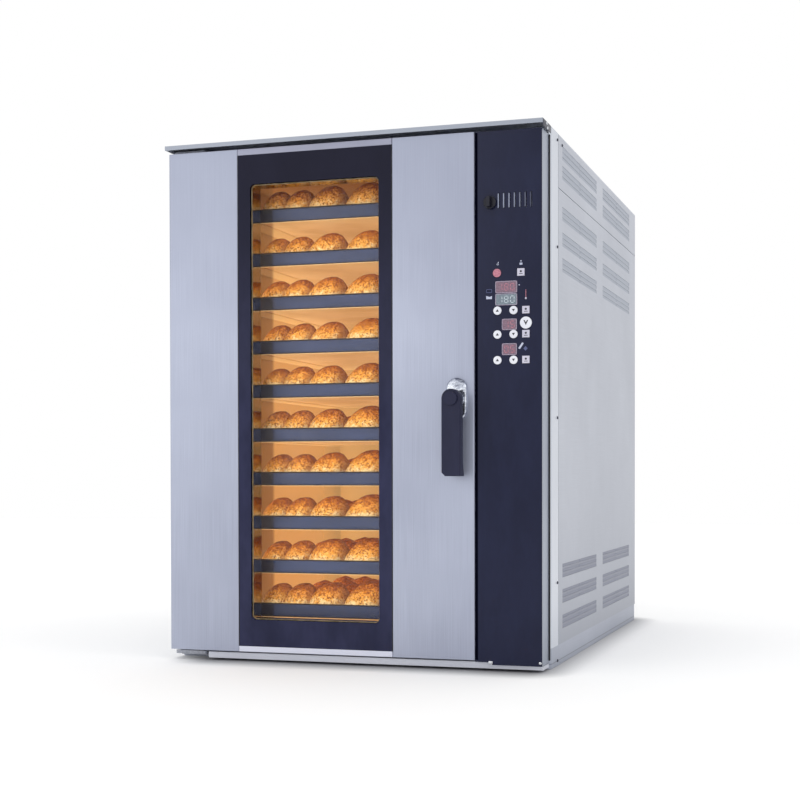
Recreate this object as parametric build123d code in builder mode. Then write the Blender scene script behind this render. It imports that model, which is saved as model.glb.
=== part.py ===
from build123d import *
import os
from math import radians, tan

os.makedirs("parts", exist_ok=True)

# Overall sizes, in millimetres. X runs to the right, Y to the back, Z up from the floor.
width = 900.0
height = 1200.0
body_depth = 1260.0
handle_reach = 60.0

# Sheet thicknesses and gaps
sheet = 2.0
rail_sheet = 3.0
seam_gap = 1.5
running_gap = 0.3
pin_clearance = 0.05

# Depth stations
door_face_y = handle_reach - (body_depth + handle_reach) / 2
rear_y = door_face_y + body_depth
cabinet_setback = 70.0
cabinet_front_y = door_face_y + cabinet_setback
cabinet_depth = rear_y - cabinet_front_y
cabinet_mid_y = (rear_y + cabinet_front_y) / 2
side_x = width / 2

# Front layout from the left edge: stile, glass, stile, gap, control column
front_inset = 4.5
left_stile_width = 175.5
right_stile_width = 191.0
column_gap = 2.0
column_width = 149.0
door_left_x = front_inset - side_x
glass_left_x = door_left_x + left_stile_width
column_right_x = side_x - front_inset
column_left_x = column_right_x - column_width
column_mid_x = (column_left_x + column_right_x) / 2
door_right_x = column_left_x - column_gap
glass_right_x = door_right_x - right_stile_width
cavity_x = (glass_left_x + glass_right_x) / 2

# Heights
base_height = 46.0
panel_top = height - sheet
door_bottom = 23.5
door_top_gap = 15.2
door_top = panel_top - door_top_gap
canopy_lip = 9.7
canopy_overhang = 12.0
strip_height = 118.0
side_seam = panel_top - strip_height

# Door
door_thickness = 62.0
door_back_y = door_face_y + door_thickness
stile_depth = door_thickness - sheet
glass_thickness = 6.0
retainer_top_height = 13.8
retainer_bottom_height = 12.5
window_border = 30.75
window_foot = 74.5
window_head = 81.8
window_left_x = glass_left_x + window_border
window_right_x = glass_right_x - window_border
window_bottom = door_bottom + window_foot
window_top = door_top - window_head
inner_glass_thickness = 4.0
inner_glass_setback = 4.0

# Door hinge line and pins
hinge_inset = 12.0
hinge_back = 14.0
hinge_x = door_left_x + hinge_inset
hinge_y = door_back_y - hinge_back
hinge_pin_radius = 6.0
hinge_pin_engagement = 26.0
hinge_boss_radius = 11.0
hinge_boss_height = 34.0
hinge_arm_width = 82.0
hinge_arm_thickness = 8.0
hinge_arm_front = 20.0
hinge_foot_thickness = 6.0
hinge_foot_height = 14.0

# Handle and latch
handle_inset = 39.5
handle_x = door_right_x - handle_inset
handle_z = 598.0
lever_width = 42.0
lever_thickness = 25.0
lever_tail = 169.0
lever_cap_rise = 5.0
lever_front_y = door_face_y - handle_reach + lever_cap_rise
lever_back_y = lever_front_y + lever_thickness
lever_hook = 10.0
lever_hook_rise = 30.0
lever_edge = 2.0
lever_chamfer = 8.0
lever_cap_radius = 15.0
spindle_radius = 7.0
rosette_width = 45.0
rosette_height = 94.0
rosette_thickness = 10.0
rosette_edge = 2.5
boss_radius = 19.0
boss_taper = 4
tongue_length = 57.0
tongue_width = 16.0
tongue_thickness = 6.0
tongue_root_radius = 12.0
tongue_depth = 25.0
latch_clearance = 2.0
latch_slot_rise = 56.0
latch_slot_drop = 11.0
keeper_thickness = 4.0

# Oven chamber
chamber_rise = 38.0
roof_space = 68.0
chamber_floor = base_height + chamber_rise
chamber_ceiling = panel_top - roof_space
plenum_depth = 140.0
side_wool = 60.0
rear_wool = 58.0
roof_wool = 58.0

# Trays and racks
tray_count = 10
tray_width = 400.0
tray_depth = 600.0
tray_height = 30.0
tray_sheet = 2.0
tray_flare = 6.0
tray_setback = 50.0
first_tray_rise = 12.4
tray_head_room = 95.8
rack_space = 35.0
first_tray_bottom = chamber_floor + first_tray_rise
tray_pitch = (chamber_ceiling - tray_head_room - first_tray_bottom) / (tray_count - 1)
tray_front_y = cabinet_front_y + tray_setback
tray_mid_y = tray_front_y + tray_depth / 2
tray_back_clearance = 45.0
runner_sheet = 2.0
runner_lip = 18.0
runner_bite = 15.0
upright_width = 24.0

# Derived chamber planes
chamber_width = tray_width + 2 * rack_space
chamber_height = chamber_ceiling - chamber_floor
chamber_mid_z = (chamber_floor + chamber_ceiling) / 2
chamber_left_x = cavity_x - chamber_width / 2
chamber_right_x = cavity_x + chamber_width / 2
liner_front_y = cabinet_front_y + sheet
baffle_y = tray_front_y + tray_depth + tray_back_clearance
chamber_back_y = baffle_y + plenum_depth
liner_back_y = chamber_back_y + sheet
wool_back_y = liner_back_y + rear_wool
wool_top = chamber_ceiling + sheet + roof_wool

# Fans and heaters
fan_radius = 150.0
fan_depth = 60.0
fan_blades = 12
fan_spacing = 514.0
fan_gap = 30.0
fan_low_z = chamber_mid_z - fan_spacing / 2
fan_high_z = chamber_mid_z + fan_spacing / 2
fan_heights = (fan_low_z, fan_high_z)
fan_front_y = baffle_y + fan_gap
shaft_radius = 9.5
motor_radius = 78.0
motor_length = 150.0
motor_bore_depth = 34.0
heater_gap = 22.0
heater_radius = fan_radius + heater_gap
heater_tube = 8.0
intake_slots = 12

# Control column
fascia_thickness = 3.0
fascia_bottom = 14.5
column_top_gap = 16.0
column_top = panel_top - column_top_gap
board_setback = 12.0
board_y = door_face_y + board_setback
board_thickness = 1.6
key_travel = 1.5
key_proud = key_travel + running_gap
key_radius = 9.0
big_key_radius = 13.0
square_key = 16.0
key_flange = 1.5
knob_radius = 14.0
knob_length = 21.0
knob_spindle_radius = 3.0
grille_slots = 7
grille_pitch = 12.0
grille_slot_width = 5.0
grille_slot_height = 33.0

# Places on the column: x from its left edge, z down from its top or from the power key
key_inset = 50.0
key_mid_step = 36.0
key_right_step = 27.5
power_shift = 1.0
light_shift = 11.0
power_drop = 310.0
temperature_row_drop = 82.0
time_row_drop = 134.0
steam_row_drop = 190.0
timer_drop = 110.0
grille_inset = 88.5
grille_drop = 152.5
knob_inset = 34.0
knob_drop = 3.5
key_left_x = column_left_x + key_inset
key_mid_x = key_left_x + key_mid_step
key_right_x = key_mid_x + key_right_step
power_x = key_left_x - power_shift
light_x = key_right_x - light_shift
power_z = column_top - power_drop
key_rows = [power_z - drop for drop in (temperature_row_drop, time_row_drop, steam_row_drop)]
timer_z = power_z - timer_drop
grille_x = column_left_x + grille_inset
grille_z = column_top - grille_drop
knob_x = column_left_x + knob_inset
knob_z = grille_z - knob_drop

# Side vents
vent_inset = 44.5
vent_back_inset = 110.0
vent_gap = 92.0
vent_rows = 3
vent_columns = 2
vent_slot_height = 7.0
vent_bar = 5.0
post_leg = 80.0
post_radius = 12.0
panel_return = 14.0


def facing(y):
    """Plane at depth y that looks to the front; its own axes are world X and Z."""
    return Plane(origin=(0, y, 0), x_dir=(1, 0, 0), z_dir=(0, -1, 0))


def finish(builder, name):
    builder.part.label = name
    export_step(builder.part, f"parts/{name}.step")


def block(x, y, z, mode=Mode.ADD):
    """Box between two values on each axis, added to the sub-part being built."""
    centre = ((x[0] + x[1]) / 2, (y[0] + y[1]) / 2, (z[0] + z[1]) / 2)
    with Locations(centre):
        Box(x[1] - x[0], y[1] - y[0], z[1] - z[0], mode=mode)


# Base: an inverted steel pan whose skirt ends in a flange that rests on the floor
base_flange = 40.0
base_bolt_radius = 5.5

with BuildPart() as base_frame:
    with BuildSketch():
        with Locations((0, cabinet_mid_y)):
            RectangleRounded(width, cabinet_depth, post_radius)
    extrude(amount=base_height)
    offset(amount=-rail_sheet, openings=base_frame.faces().sort_by(Axis.Z)[0])
    with BuildSketch():
        with Locations((0, cabinet_mid_y)):
            RectangleRounded(width, cabinet_depth, post_radius)
            Rectangle(width - 2 * base_flange, cabinet_depth - 2 * base_flange, mode=Mode.SUBTRACT)
            with GridLocations(width - base_flange, cabinet_depth - base_flange, 2, 2):
                Circle(base_bolt_radius, mode=Mode.SUBTRACT)
    extrude(amount=rail_sheet)
finish(base_frame, "base_frame")


# Drip gutter under the door, an open U channel that runs on under the column with lower walls
gutter_left_inset = 92.0
gutter_right_overlap = 36.0
gutter_setback = 12.0
gutter_left_x = door_left_x + gutter_left_inset
gutter_right_x = column_left_x + gutter_right_overlap
gutter_front_y = door_face_y + gutter_setback
gutter_bottom = 5.0
gutter_depth = 14.0
gutter_top = gutter_bottom + gutter_depth
sill_gap = 1.0
notch_right_x = gutter_right_x + sill_gap
notch_top = gutter_top + sill_gap

with BuildPart() as sill_gutter:
    block(
        (gutter_left_x, column_right_x),
        (gutter_front_y, cabinet_front_y),
        (gutter_bottom, gutter_top),
    )
    offset(amount=-sheet, openings=sill_gutter.faces().sort_by(Axis.Z)[-1])
    block(
        (gutter_right_x, column_right_x),
        (gutter_front_y, cabinet_front_y),
        (fascia_bottom - sill_gap, gutter_top),
        mode=Mode.SUBTRACT,
    )
finish(sill_gutter, "sill_gutter")


# Corner posts: folded angles with a round outer corner
post_back_y = cabinet_front_y + post_leg


def corner_post(side):
    corner = (side * side_x, cabinet_front_y)
    with BuildPart() as post:
        with BuildSketch(Plane.XY.offset(base_height)) as section:
            with Locations((side * (side_x - post_leg / 2), cabinet_front_y + post_leg / 2)):
                Rectangle(post_leg, post_leg)
                with Locations((-side * sheet, sheet)):
                    Rectangle(post_leg, post_leg, mode=Mode.SUBTRACT)
            fillet(section.vertices().sort_by_distance(corner)[0], radius=post_radius)
            inner_corner = (corner[0] - side * sheet, corner[1] + sheet)
            fillet(section.vertices().sort_by_distance(inner_corner)[0], radius=post_radius - sheet)
        extrude(amount=panel_top - base_height)
    return post


for side, name in ((-1, "corner_post_left"), (1, "corner_post_right")):
    finish(corner_post(side), name)


# Side panels: folded pans, open to the inside, with two patches of long slots side by side at each height
panel_front_y = post_back_y + seam_gap
panel_back_y = rear_y - sheet
vent_width = (panel_back_y - panel_front_y - vent_inset - vent_gap - vent_back_inset) / 2
vent_front_y = panel_front_y + vent_inset
vent_patch_y = [vent_front_y + vent_width / 2 + i * (vent_width + vent_gap) for i in range(2)]
vent_slot_length = (vent_width - (vent_columns - 1) * vent_bar) / vent_columns


def side_panel(side, bottom, top, vent_heights):
    """Pan from bottom to top; vent_heights are the middle heights of its slot patches."""
    outer = side * side_x
    with BuildPart() as panel:
        block(sorted((outer, outer - side * panel_return)), (panel_front_y, panel_back_y), (bottom, top))
        offset(amount=-sheet, openings=panel.faces().sort_by(Axis.X)[0 if side > 0 else -1])
        if vent_heights:
            with BuildSketch(Plane.YZ.offset(outer)):
                with Locations([(y, z) for y in vent_patch_y for z in vent_heights]):
                    with GridLocations(
                        vent_slot_length + vent_bar, vent_slot_height + vent_bar, vent_columns, vent_rows
                    ):
                        Rectangle(vent_slot_length, vent_slot_height)
            extrude(amount=-side * sheet, mode=Mode.SUBTRACT)
    return panel


top_vent_drop = 32.0
seam_vent_drop = 52.0
base_vent_rise = 48.5
upper_vent_pitch = 44.5
vent_pitch = 58.5
upper_vents = [panel_top - top_vent_drop - i * upper_vent_pitch for i in range(2)]
middle_vents = [side_seam - seam_vent_drop - i * vent_pitch for i in range(3)]
lower_vents = [base_height + base_vent_rise + i * vent_pitch for i in range(3)]
finish(side_panel(1, side_seam, panel_top, upper_vents), "side_strip_right")
finish(side_panel(1, base_height, side_seam - seam_gap, lower_vents + middle_vents), "side_panel_right")
finish(side_panel(-1, base_height, panel_top, ()), "side_panel_left")


# Rear panel with a patch of slots in front of each fan motor
rear_slots = 8
rear_slot_width = 10.0
rear_slot_pitch = 32.0
rear_slot_length = 150.0

with BuildPart() as rear_panel:
    block((-side_x, side_x), (panel_back_y, rear_y), (base_height, panel_top))
    with BuildSketch(facing(rear_y)):
        with Locations([(cavity_x, z) for z in fan_heights]):
            with GridLocations(rear_slot_pitch, 0, rear_slots, 1):
                Rectangle(rear_slot_width, rear_slot_length)
    extrude(amount=sheet, mode=Mode.SUBTRACT)
finish(rear_panel, "rear_panel")


# Roof: a flat sheet that runs out over the door as a canopy with a turned-down lip
canopy_front_y = door_face_y - canopy_overhang
canopy_mid_y = (canopy_front_y + cabinet_front_y) / 2
canopy_depth = cabinet_front_y - canopy_front_y

with BuildPart() as roof_panel:
    block((-side_x, side_x), (canopy_front_y, rear_y), (panel_top, height))
    with BuildSketch(Plane.XY.offset(panel_top)):
        with Locations((0, canopy_mid_y)):
            Rectangle(width, canopy_depth)
            with Locations((0, sheet)):
                Rectangle(width - 2 * sheet, canopy_depth, mode=Mode.SUBTRACT)
    extrude(amount=sheet - canopy_lip)
finish(roof_panel, "roof_panel")


# Face frame: the sheet around the mouth of the chamber, on which the door seals
frame_half = side_x - post_leg

with BuildPart() as face_frame:
    with BuildSketch(facing(cabinet_front_y)):
        with Locations((0, (base_height + panel_top) / 2)):
            Rectangle(2 * frame_half, panel_top - base_height)
        with Locations((cavity_x, chamber_mid_z)):
            Rectangle(chamber_width, chamber_height, mode=Mode.SUBTRACT)
    extrude(amount=-sheet)
finish(face_frame, "face_frame")


# Chamber liner, open at the front; the fan shafts pass through its back
shaft_clearance = 3.0
shaft_hole = shaft_radius + shaft_clearance
liner_top = chamber_ceiling + sheet
liner_bottom = chamber_floor - sheet

with BuildPart() as cavity_liner:
    block(
        (chamber_left_x - sheet, chamber_right_x + sheet),
        (liner_front_y, liner_back_y),
        (liner_bottom, liner_top),
    )
    offset(amount=-sheet, openings=cavity_liner.faces().sort_by(Axis.Y)[0])
    with BuildSketch(facing(liner_back_y)):
        with Locations([(cavity_x, z) for z in fan_heights]):
            Circle(shaft_hole)
    extrude(amount=sheet, mode=Mode.SUBTRACT)
finish(cavity_liner, "cavity_liner")


# Mineral wool wrapped round the liner, from the base deck up
with BuildPart() as wool_jacket:
    block(
        (chamber_left_x - sheet - side_wool, chamber_right_x + sheet + side_wool),
        (liner_front_y, wool_back_y),
        (base_height, wool_top),
    )
    block(
        (chamber_left_x - sheet, chamber_right_x + sheet),
        (liner_front_y, liner_back_y),
        (liner_bottom, liner_top),
        mode=Mode.SUBTRACT,
    )
    with BuildSketch(facing(wool_back_y)):
        with Locations([(cavity_x, z) for z in fan_heights]):
            Circle(shaft_hole)
    extrude(amount=rear_wool, mode=Mode.SUBTRACT)
finish(wool_jacket, "wool_jacket")


# Chamber lamps: two upright strips with a bevelled lens, on the left wall just inside the mouth
lamp_setback = 26.0
lamp_width = 36.0
lamp_length = 220.0
lamp_rise = 12.0
lamp_taper = 30

with BuildPart() as cavity_lamps:
    with BuildSketch(Plane.YZ.offset(chamber_left_x)):
        with Locations([(cabinet_front_y + lamp_setback, z) for z in fan_heights]):
            Rectangle(lamp_width, lamp_length)
    extrude(amount=lamp_rise, taper=lamp_taper)
finish(cavity_lamps, "cavity_lamps")


# Fan baffle: a sheet from floor to ceiling, short of the walls so that the air returns beside it
baffle_side_gap = 18.0
intake_inner = 30.0
intake_outer = 112.0
intake_slot_width = 7.0

with BuildPart() as fan_baffle:
    with BuildSketch(facing(baffle_y)):
        with Locations((cavity_x, chamber_mid_z)):
            Rectangle(chamber_width - 2 * baffle_side_gap, chamber_height)
        for z in fan_heights:
            with Locations((cavity_x, z)):
                with PolarLocations((intake_inner + intake_outer) / 2, intake_slots):
                    Rectangle(intake_outer - intake_inner, intake_slot_width, mode=Mode.SUBTRACT)
    extrude(amount=-sheet)
finish(fan_baffle, "fan_baffle")


# Fan wheels: a back disc with straight blades, a hub and a shaft into the motor
fan_back_y = fan_front_y + fan_depth
hub_radius = 24.0
blade_length = 75.0
shaft_end_gap = 4.0
shaft_end_y = wool_back_y + motor_bore_depth - shaft_end_gap


def fan_wheel(z):
    with BuildPart() as wheel:
        with BuildSketch(facing(fan_back_y)):
            with Locations((cavity_x, z)):
                Circle(fan_radius)
        extrude(amount=sheet)
        with BuildSketch(facing(fan_back_y - sheet)):
            with Locations((cavity_x, z)):
                with PolarLocations(fan_radius - blade_length / 2 - sheet, fan_blades):
                    Rectangle(blade_length, sheet)
        extrude(amount=fan_depth - sheet)
        with BuildSketch(facing(fan_back_y)):
            with Locations((cavity_x, z)):
                Circle(hub_radius)
        extrude(amount=fan_depth / 2)
        with BuildSketch(facing(fan_back_y)):
            with Locations((cavity_x, z)):
                Circle(shaft_radius)
        extrude(amount=fan_back_y - shaft_end_y)
    return wheel


for name, z in zip(("fan_wheel_lower", "fan_wheel_upper"), fan_heights):
    finish(fan_wheel(z), name)


# Fan motors: a flange on the back of the wool and an eight-sided body with the shaft bore
motor_flange = 100.0
motor_flange_thickness = 8.0

with BuildPart() as fan_motors:
    for z in fan_heights:
        with BuildSketch(facing(wool_back_y)):
            with Locations((cavity_x, z)):
                Rectangle(2 * motor_flange, 2 * motor_flange)
                Circle(shaft_radius + pin_clearance, mode=Mode.SUBTRACT)
        extrude(amount=-motor_flange_thickness)
        with BuildSketch(facing(wool_back_y + motor_flange_thickness)):
            with Locations((cavity_x, z)):
                RegularPolygon(motor_radius, 8, major_radius=False)
        extrude(amount=-motor_length)
        with BuildSketch(facing(wool_back_y + motor_flange_thickness)):
            with Locations((cavity_x, z)):
                Circle(shaft_radius + pin_clearance)
        extrude(amount=motor_flange_thickness - motor_bore_depth, mode=Mode.SUBTRACT)
finish(fan_motors, "fan_motors")


# Heating elements: a ring round each fan, on stems from the back wall
heater_setback = 26.0
heater_front_y = fan_front_y + heater_setback

with BuildPart() as heating_elements:
    for z in fan_heights:
        with BuildSketch(facing(heater_front_y)):
            with Locations((cavity_x, z)):
                Circle(heater_radius + heater_tube / 2)
                Circle(heater_radius - heater_tube / 2, mode=Mode.SUBTRACT)
        extrude(amount=-heater_tube)
        with BuildSketch(facing(heater_front_y)):
            with Locations((cavity_x, z)):
                with PolarLocations(heater_radius, 2):
                    Rectangle(heater_tube, heater_tube)
        extrude(amount=heater_front_y - chamber_back_y)
finish(heating_elements, "heating_elements")


# Tray racks: two uprights from floor to ceiling and an angle runner for each tray
tray_bottoms = [first_tray_bottom + i * tray_pitch for i in range(tray_count)]
tray_foot_inset = tray_height * tan(radians(tray_flare))
runner_end_inset = 20.0
runner_length = tray_depth - 2 * runner_end_inset
upright_reach = (runner_length - upright_width) / 2
upright_y = (tray_mid_y - upright_reach, tray_mid_y + upright_reach)


def tray_rack(side):
    wall_x = cavity_x + side * chamber_width / 2
    reach_x = cavity_x + side * (tray_width / 2 - tray_foot_inset - runner_bite)
    lip_x = wall_x - side * (runner_sheet + runner_sheet)
    with BuildPart() as rack:
        for y in upright_y:
            block(
                sorted((wall_x, wall_x - side * runner_sheet)),
                (y - upright_width / 2, y + upright_width / 2),
                (chamber_floor, chamber_ceiling),
            )
        with BuildSketch(Plane.XZ.offset(-tray_mid_y)):
            for z in tray_bottoms:
                with BuildLine():
                    Polyline(
                        (wall_x - side * runner_sheet, z + runner_lip),
                        (wall_x - side * runner_sheet, z - runner_sheet),
                        (reach_x, z - runner_sheet),
                        (reach_x, z),
                        (lip_x, z),
                        (lip_x, z + runner_lip),
                        close=True,
                    )
                make_face()
        extrude(amount=runner_length / 2, both=True)
    return rack


for side, name in ((-1, "rack_left"), (1, "rack_right")):
    finish(tray_rack(side), name)


# Baking trays: flared sheet pans that stand on the runners
def baking_tray(bottom):
    foot_width = tray_width - 2 * tray_foot_inset
    foot_depth = tray_depth - 2 * tray_foot_inset
    with BuildPart() as tray:
        with BuildSketch(Plane.XY.offset(bottom)):
            with Locations((cavity_x, tray_mid_y)):
                Rectangle(foot_width, foot_depth)
        extrude(amount=tray_height, taper=-tray_flare)
        offset(amount=-tray_sheet, openings=tray.faces().sort_by(Axis.Z)[-1])
    return tray


for number, bottom in enumerate(tray_bottoms, start=1):
    finish(baking_tray(bottom), f"tray_{number:02d}")


# Door stiles: pans of folded sheet, open at the back; the left one carries the hinge bosses
stile_edge_radius = 3.0
tongue_front_y = door_face_y + tongue_depth
tongue_back_y = tongue_front_y + tongue_thickness
latch_slot_y = (tongue_front_y - latch_clearance, tongue_back_y + latch_clearance)
latch_slot_z = (handle_z - latch_slot_drop, handle_z + latch_slot_rise)


def door_stile(left_x, right_x):
    with BuildPart() as stile:
        block((left_x, right_x), (door_face_y, door_face_y + stile_depth), (door_bottom, door_top))
        front_edges = stile.faces().sort_by(Axis.Y)[0].edges().filter_by(Axis.Z)
        fillet(front_edges, radius=stile_edge_radius)
        offset(amount=-sheet, openings=stile.faces().sort_by(Axis.Y)[-1])
    return stile


left_stile = door_stile(door_left_x, glass_left_x)
with BuildPart() as door_left_stile:
    add(left_stile)
    for z, direction in ((door_bottom, 1), (door_top, -1)):
        with BuildSketch(Plane.XY.offset(z)):
            with Locations((hinge_x, hinge_y)):
                Rectangle(2 * hinge_boss_radius, 2 * hinge_boss_radius)
        extrude(amount=direction * hinge_boss_height)
        with BuildSketch(Plane.XY.offset(z)):
            with Locations((hinge_x, hinge_y)):
                Circle(hinge_pin_radius + pin_clearance)
        extrude(amount=direction * hinge_boss_height, mode=Mode.SUBTRACT)
finish(door_left_stile, "door_left_stile")

right_stile = door_stile(glass_right_x, door_right_x)
with BuildPart() as door_right_stile:
    add(right_stile)
    with BuildSketch(facing(door_face_y)):
        with Locations((handle_x, handle_z)):
            Circle(spindle_radius + pin_clearance)
    extrude(amount=-sheet, mode=Mode.SUBTRACT)
    block((door_right_x - sheet, door_right_x), latch_slot_y, latch_slot_z, mode=Mode.SUBTRACT)
finish(door_right_stile, "door_right_stile")


# Door glass: a full-height outer pane held by two retainers, and an inner pane in the window
outer_glass_bottom = door_bottom + retainer_bottom_height
outer_glass_top = door_top - retainer_top_height
glass_back_y = door_face_y + glass_thickness

with BuildPart() as door_outer_glass:
    block((glass_left_x, glass_right_x), (door_face_y, glass_back_y), (outer_glass_bottom, outer_glass_top))
finish(door_outer_glass, "door_outer_glass")

with BuildPart() as glass_retainers:
    for bottom, top in ((door_bottom, outer_glass_bottom), (outer_glass_top, door_top)):
        block((glass_left_x, glass_right_x), (door_face_y, door_face_y + stile_depth), (bottom, top))
        block(
            (glass_left_x, glass_right_x),
            (door_face_y + sheet, door_face_y + stile_depth),
            (bottom + sheet, top - sheet),
            mode=Mode.SUBTRACT,
        )
finish(glass_retainers, "glass_retainers")

inner_glass_back_y = door_back_y - inner_glass_setback
with BuildPart() as door_inner_glass:
    block(
        (window_left_x, window_right_x),
        (inner_glass_back_y - inner_glass_thickness, inner_glass_back_y),
        (window_bottom, window_top),
    )
finish(door_inner_glass, "door_inner_glass")


# Door inner frame: the back sheet of the door and the reveal that lines the window
with BuildPart() as door_inner_frame:
    with BuildSketch(facing(door_back_y)):
        with Locations(((door_left_x + door_right_x) / 2, (door_bottom + door_top) / 2)):
            Rectangle(door_right_x - door_left_x, door_top - door_bottom)
    extrude(amount=sheet)
    block(
        (window_left_x - sheet, window_right_x + sheet),
        (glass_back_y, door_back_y),
        (window_bottom - sheet, window_top + sheet),
    )
    block(
        (window_left_x, window_right_x),
        (glass_back_y, door_back_y),
        (window_bottom, window_top),
        mode=Mode.SUBTRACT,
    )
finish(door_inner_frame, "door_inner_frame")


# Door gasket: a rubber ring that meets the face frame round the mouth
gasket_width = 14.0
gasket_gap = 4.0

with BuildPart() as door_gasket:
    with BuildSketch(facing(door_back_y)):
        with Locations((cavity_x, chamber_mid_z)):
            inner_width = chamber_width + 2 * gasket_gap
            inner_height = chamber_height + 2 * gasket_gap
            RectangleRounded(inner_width + 2 * gasket_width, inner_height + 2 * gasket_width, gasket_width)
            Rectangle(inner_width, inner_height, mode=Mode.SUBTRACT)
    extrude(amount=running_gap - (cabinet_front_y - door_back_y))
finish(door_gasket, "door_gasket")


# Hinges: a foot on the cabinet front, an arm under or over the door and an upright pin
hinge_arm_y = hinge_y - hinge_arm_front
hinge_shoulder_radius = 10.0
hinge_arm_radius = 8.0
lower_arm_gap = 5.5
upper_arm_gap = 3.2
lower_arm_top = door_bottom - lower_arm_gap
upper_arm_bottom = door_top + upper_arm_gap


def door_hinge(arm, foot, shoulder, pin):
    """Each argument is a low and high value of Z."""
    left_x = sheet - side_x
    with BuildPart() as hinge:
        block((left_x, left_x + hinge_arm_width), (hinge_arm_y, cabinet_front_y), arm)
        foot_front_y = cabinet_front_y - hinge_foot_thickness
        block((left_x, left_x + hinge_arm_width), (foot_front_y, cabinet_front_y), foot)
        fillet(hinge.edges().filter_by(Axis.Z).sort_by(Axis.Y)[0:2], radius=hinge_arm_radius)
        for radius, (low, high) in ((hinge_shoulder_radius, shoulder), (hinge_pin_radius, pin)):
            with BuildSketch(Plane.XY.offset(low)):
                with Locations((hinge_x, hinge_y)):
                    Circle(radius)
            extrude(amount=high - low)
    return hinge


finish(
    door_hinge(
        (lower_arm_top - hinge_arm_thickness, lower_arm_top),
        (lower_arm_top - hinge_foot_height, lower_arm_top),
        (lower_arm_top, door_bottom - running_gap),
        (lower_arm_top, door_bottom + hinge_pin_engagement),
    ),
    "hinge_lower",
)
finish(
    door_hinge(
        (upper_arm_bottom, upper_arm_bottom + hinge_arm_thickness),
        (upper_arm_bottom, panel_top),
        (door_top + running_gap, upper_arm_bottom),
        (door_top - hinge_pin_engagement, upper_arm_bottom),
    ),
    "hinge_upper",
)


# Handle rosette: an upright plate with round ends, and the spindle boss that stands on it
with BuildPart() as handle_rosette:
    with BuildSketch(facing(door_face_y)):
        with Locations((handle_x, handle_z)):
            SlotOverall(rosette_height, rosette_width, rotation=90)
    extrude(amount=rosette_thickness)
    chamfer(handle_rosette.faces().sort_by(Axis.Y)[0].edges(), length=rosette_edge)
    with BuildSketch(facing(door_face_y)):
        with Locations((handle_x, handle_z)):
            Circle(boss_radius)
    extrude(amount=door_face_y - lever_back_y - running_gap, taper=boss_taper)
    with BuildSketch(facing(door_face_y)):
        with Locations((handle_x, handle_z)):
            Circle(spindle_radius + pin_clearance)
    extrude(amount=door_face_y - lever_back_y, mode=Mode.SUBTRACT)
finish(handle_rosette, "handle_rosette")


# Handle lever: a flat grip that hangs from the spindle, with its tail hooked back to the door
lever_left_x = handle_x - lever_width / 2
lever_bottom = handle_z - lever_tail
spindle_seat = 18.0
cut_margin = 1.0

with BuildPart() as handle_lever:
    with BuildSketch(Plane.YZ.offset(lever_left_x)):
        with BuildLine():
            Polyline(
                (lever_front_y, lever_bottom),
                (lever_front_y, handle_z + lever_width / 2),
                (lever_back_y, handle_z + lever_width / 2),
                (lever_back_y, lever_bottom + lever_hook_rise),
                (lever_back_y + lever_hook, lever_bottom),
                close=True,
            )
        make_face()
    extrude(amount=lever_width)
    with BuildSketch(facing(lever_front_y - cut_margin)) as lever_outline:
        with Locations((handle_x, handle_z)):
            Circle(lever_width / 2)
        with Locations((handle_x, handle_z - lever_tail / 2)):
            Rectangle(lever_width, lever_tail)
        left_foot = lever_outline.vertices().sort_by_distance((lever_left_x, lever_bottom))[0]
        chamfer(left_foot, length=lever_chamfer)
    extrude(amount=-(lever_thickness + lever_hook + 2 * cut_margin), mode=Mode.INTERSECT)
    chamfer(handle_lever.faces().sort_by(Axis.Y)[0].edges(), length=lever_edge)
    with BuildSketch(facing(lever_front_y)):
        with Locations((handle_x, handle_z)):
            Circle(lever_cap_radius)
    extrude(amount=lever_cap_rise)
    with BuildSketch(facing(lever_back_y)):
        with Locations((handle_x, handle_z)):
            Circle(spindle_radius)
    extrude(amount=spindle_seat, mode=Mode.SUBTRACT)
finish(handle_lever, "handle_lever")


# Latch shaft: the spindle and the tongue that swings out of the door edge into the column
shaft_tail = 8.0
shaft_back_y = tongue_back_y + shaft_tail

with BuildPart() as latch_shaft:
    with BuildSketch(facing(shaft_back_y)):
        with Locations((handle_x, handle_z)):
            Circle(spindle_radius)
    extrude(amount=shaft_back_y - lever_back_y + spindle_seat)
    with BuildSketch(facing(tongue_front_y)):
        with Locations((handle_x, handle_z)):
            Circle(tongue_root_radius)
        with Locations((handle_x, handle_z + tongue_length / 2)):
            Rectangle(tongue_width, tongue_length)
    extrude(amount=-tongue_thickness)
finish(latch_shaft, "latch_shaft")


# Latch keeper: a slotted plate behind the column wall
keeper_margin = 14.0

with BuildPart() as latch_keeper:
    block(
        (column_left_x + sheet, column_left_x + sheet + keeper_thickness),
        (latch_slot_y[0] - keeper_margin / 2, latch_slot_y[1] + keeper_margin),
        (latch_slot_z[0] - keeper_margin, latch_slot_z[1] + keeper_margin),
    )
    block(
        (column_left_x + sheet, column_left_x + sheet + keeper_thickness),
        latch_slot_y,
        latch_slot_z,
        mode=Mode.SUBTRACT,
    )
finish(latch_keeper, "latch_keeper")


# Control housing: the steel box of the column, open at the back, with the latch slot and a notch at its
# lower left corner for the end of the gutter
housing_front_y = door_face_y + fascia_thickness

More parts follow.
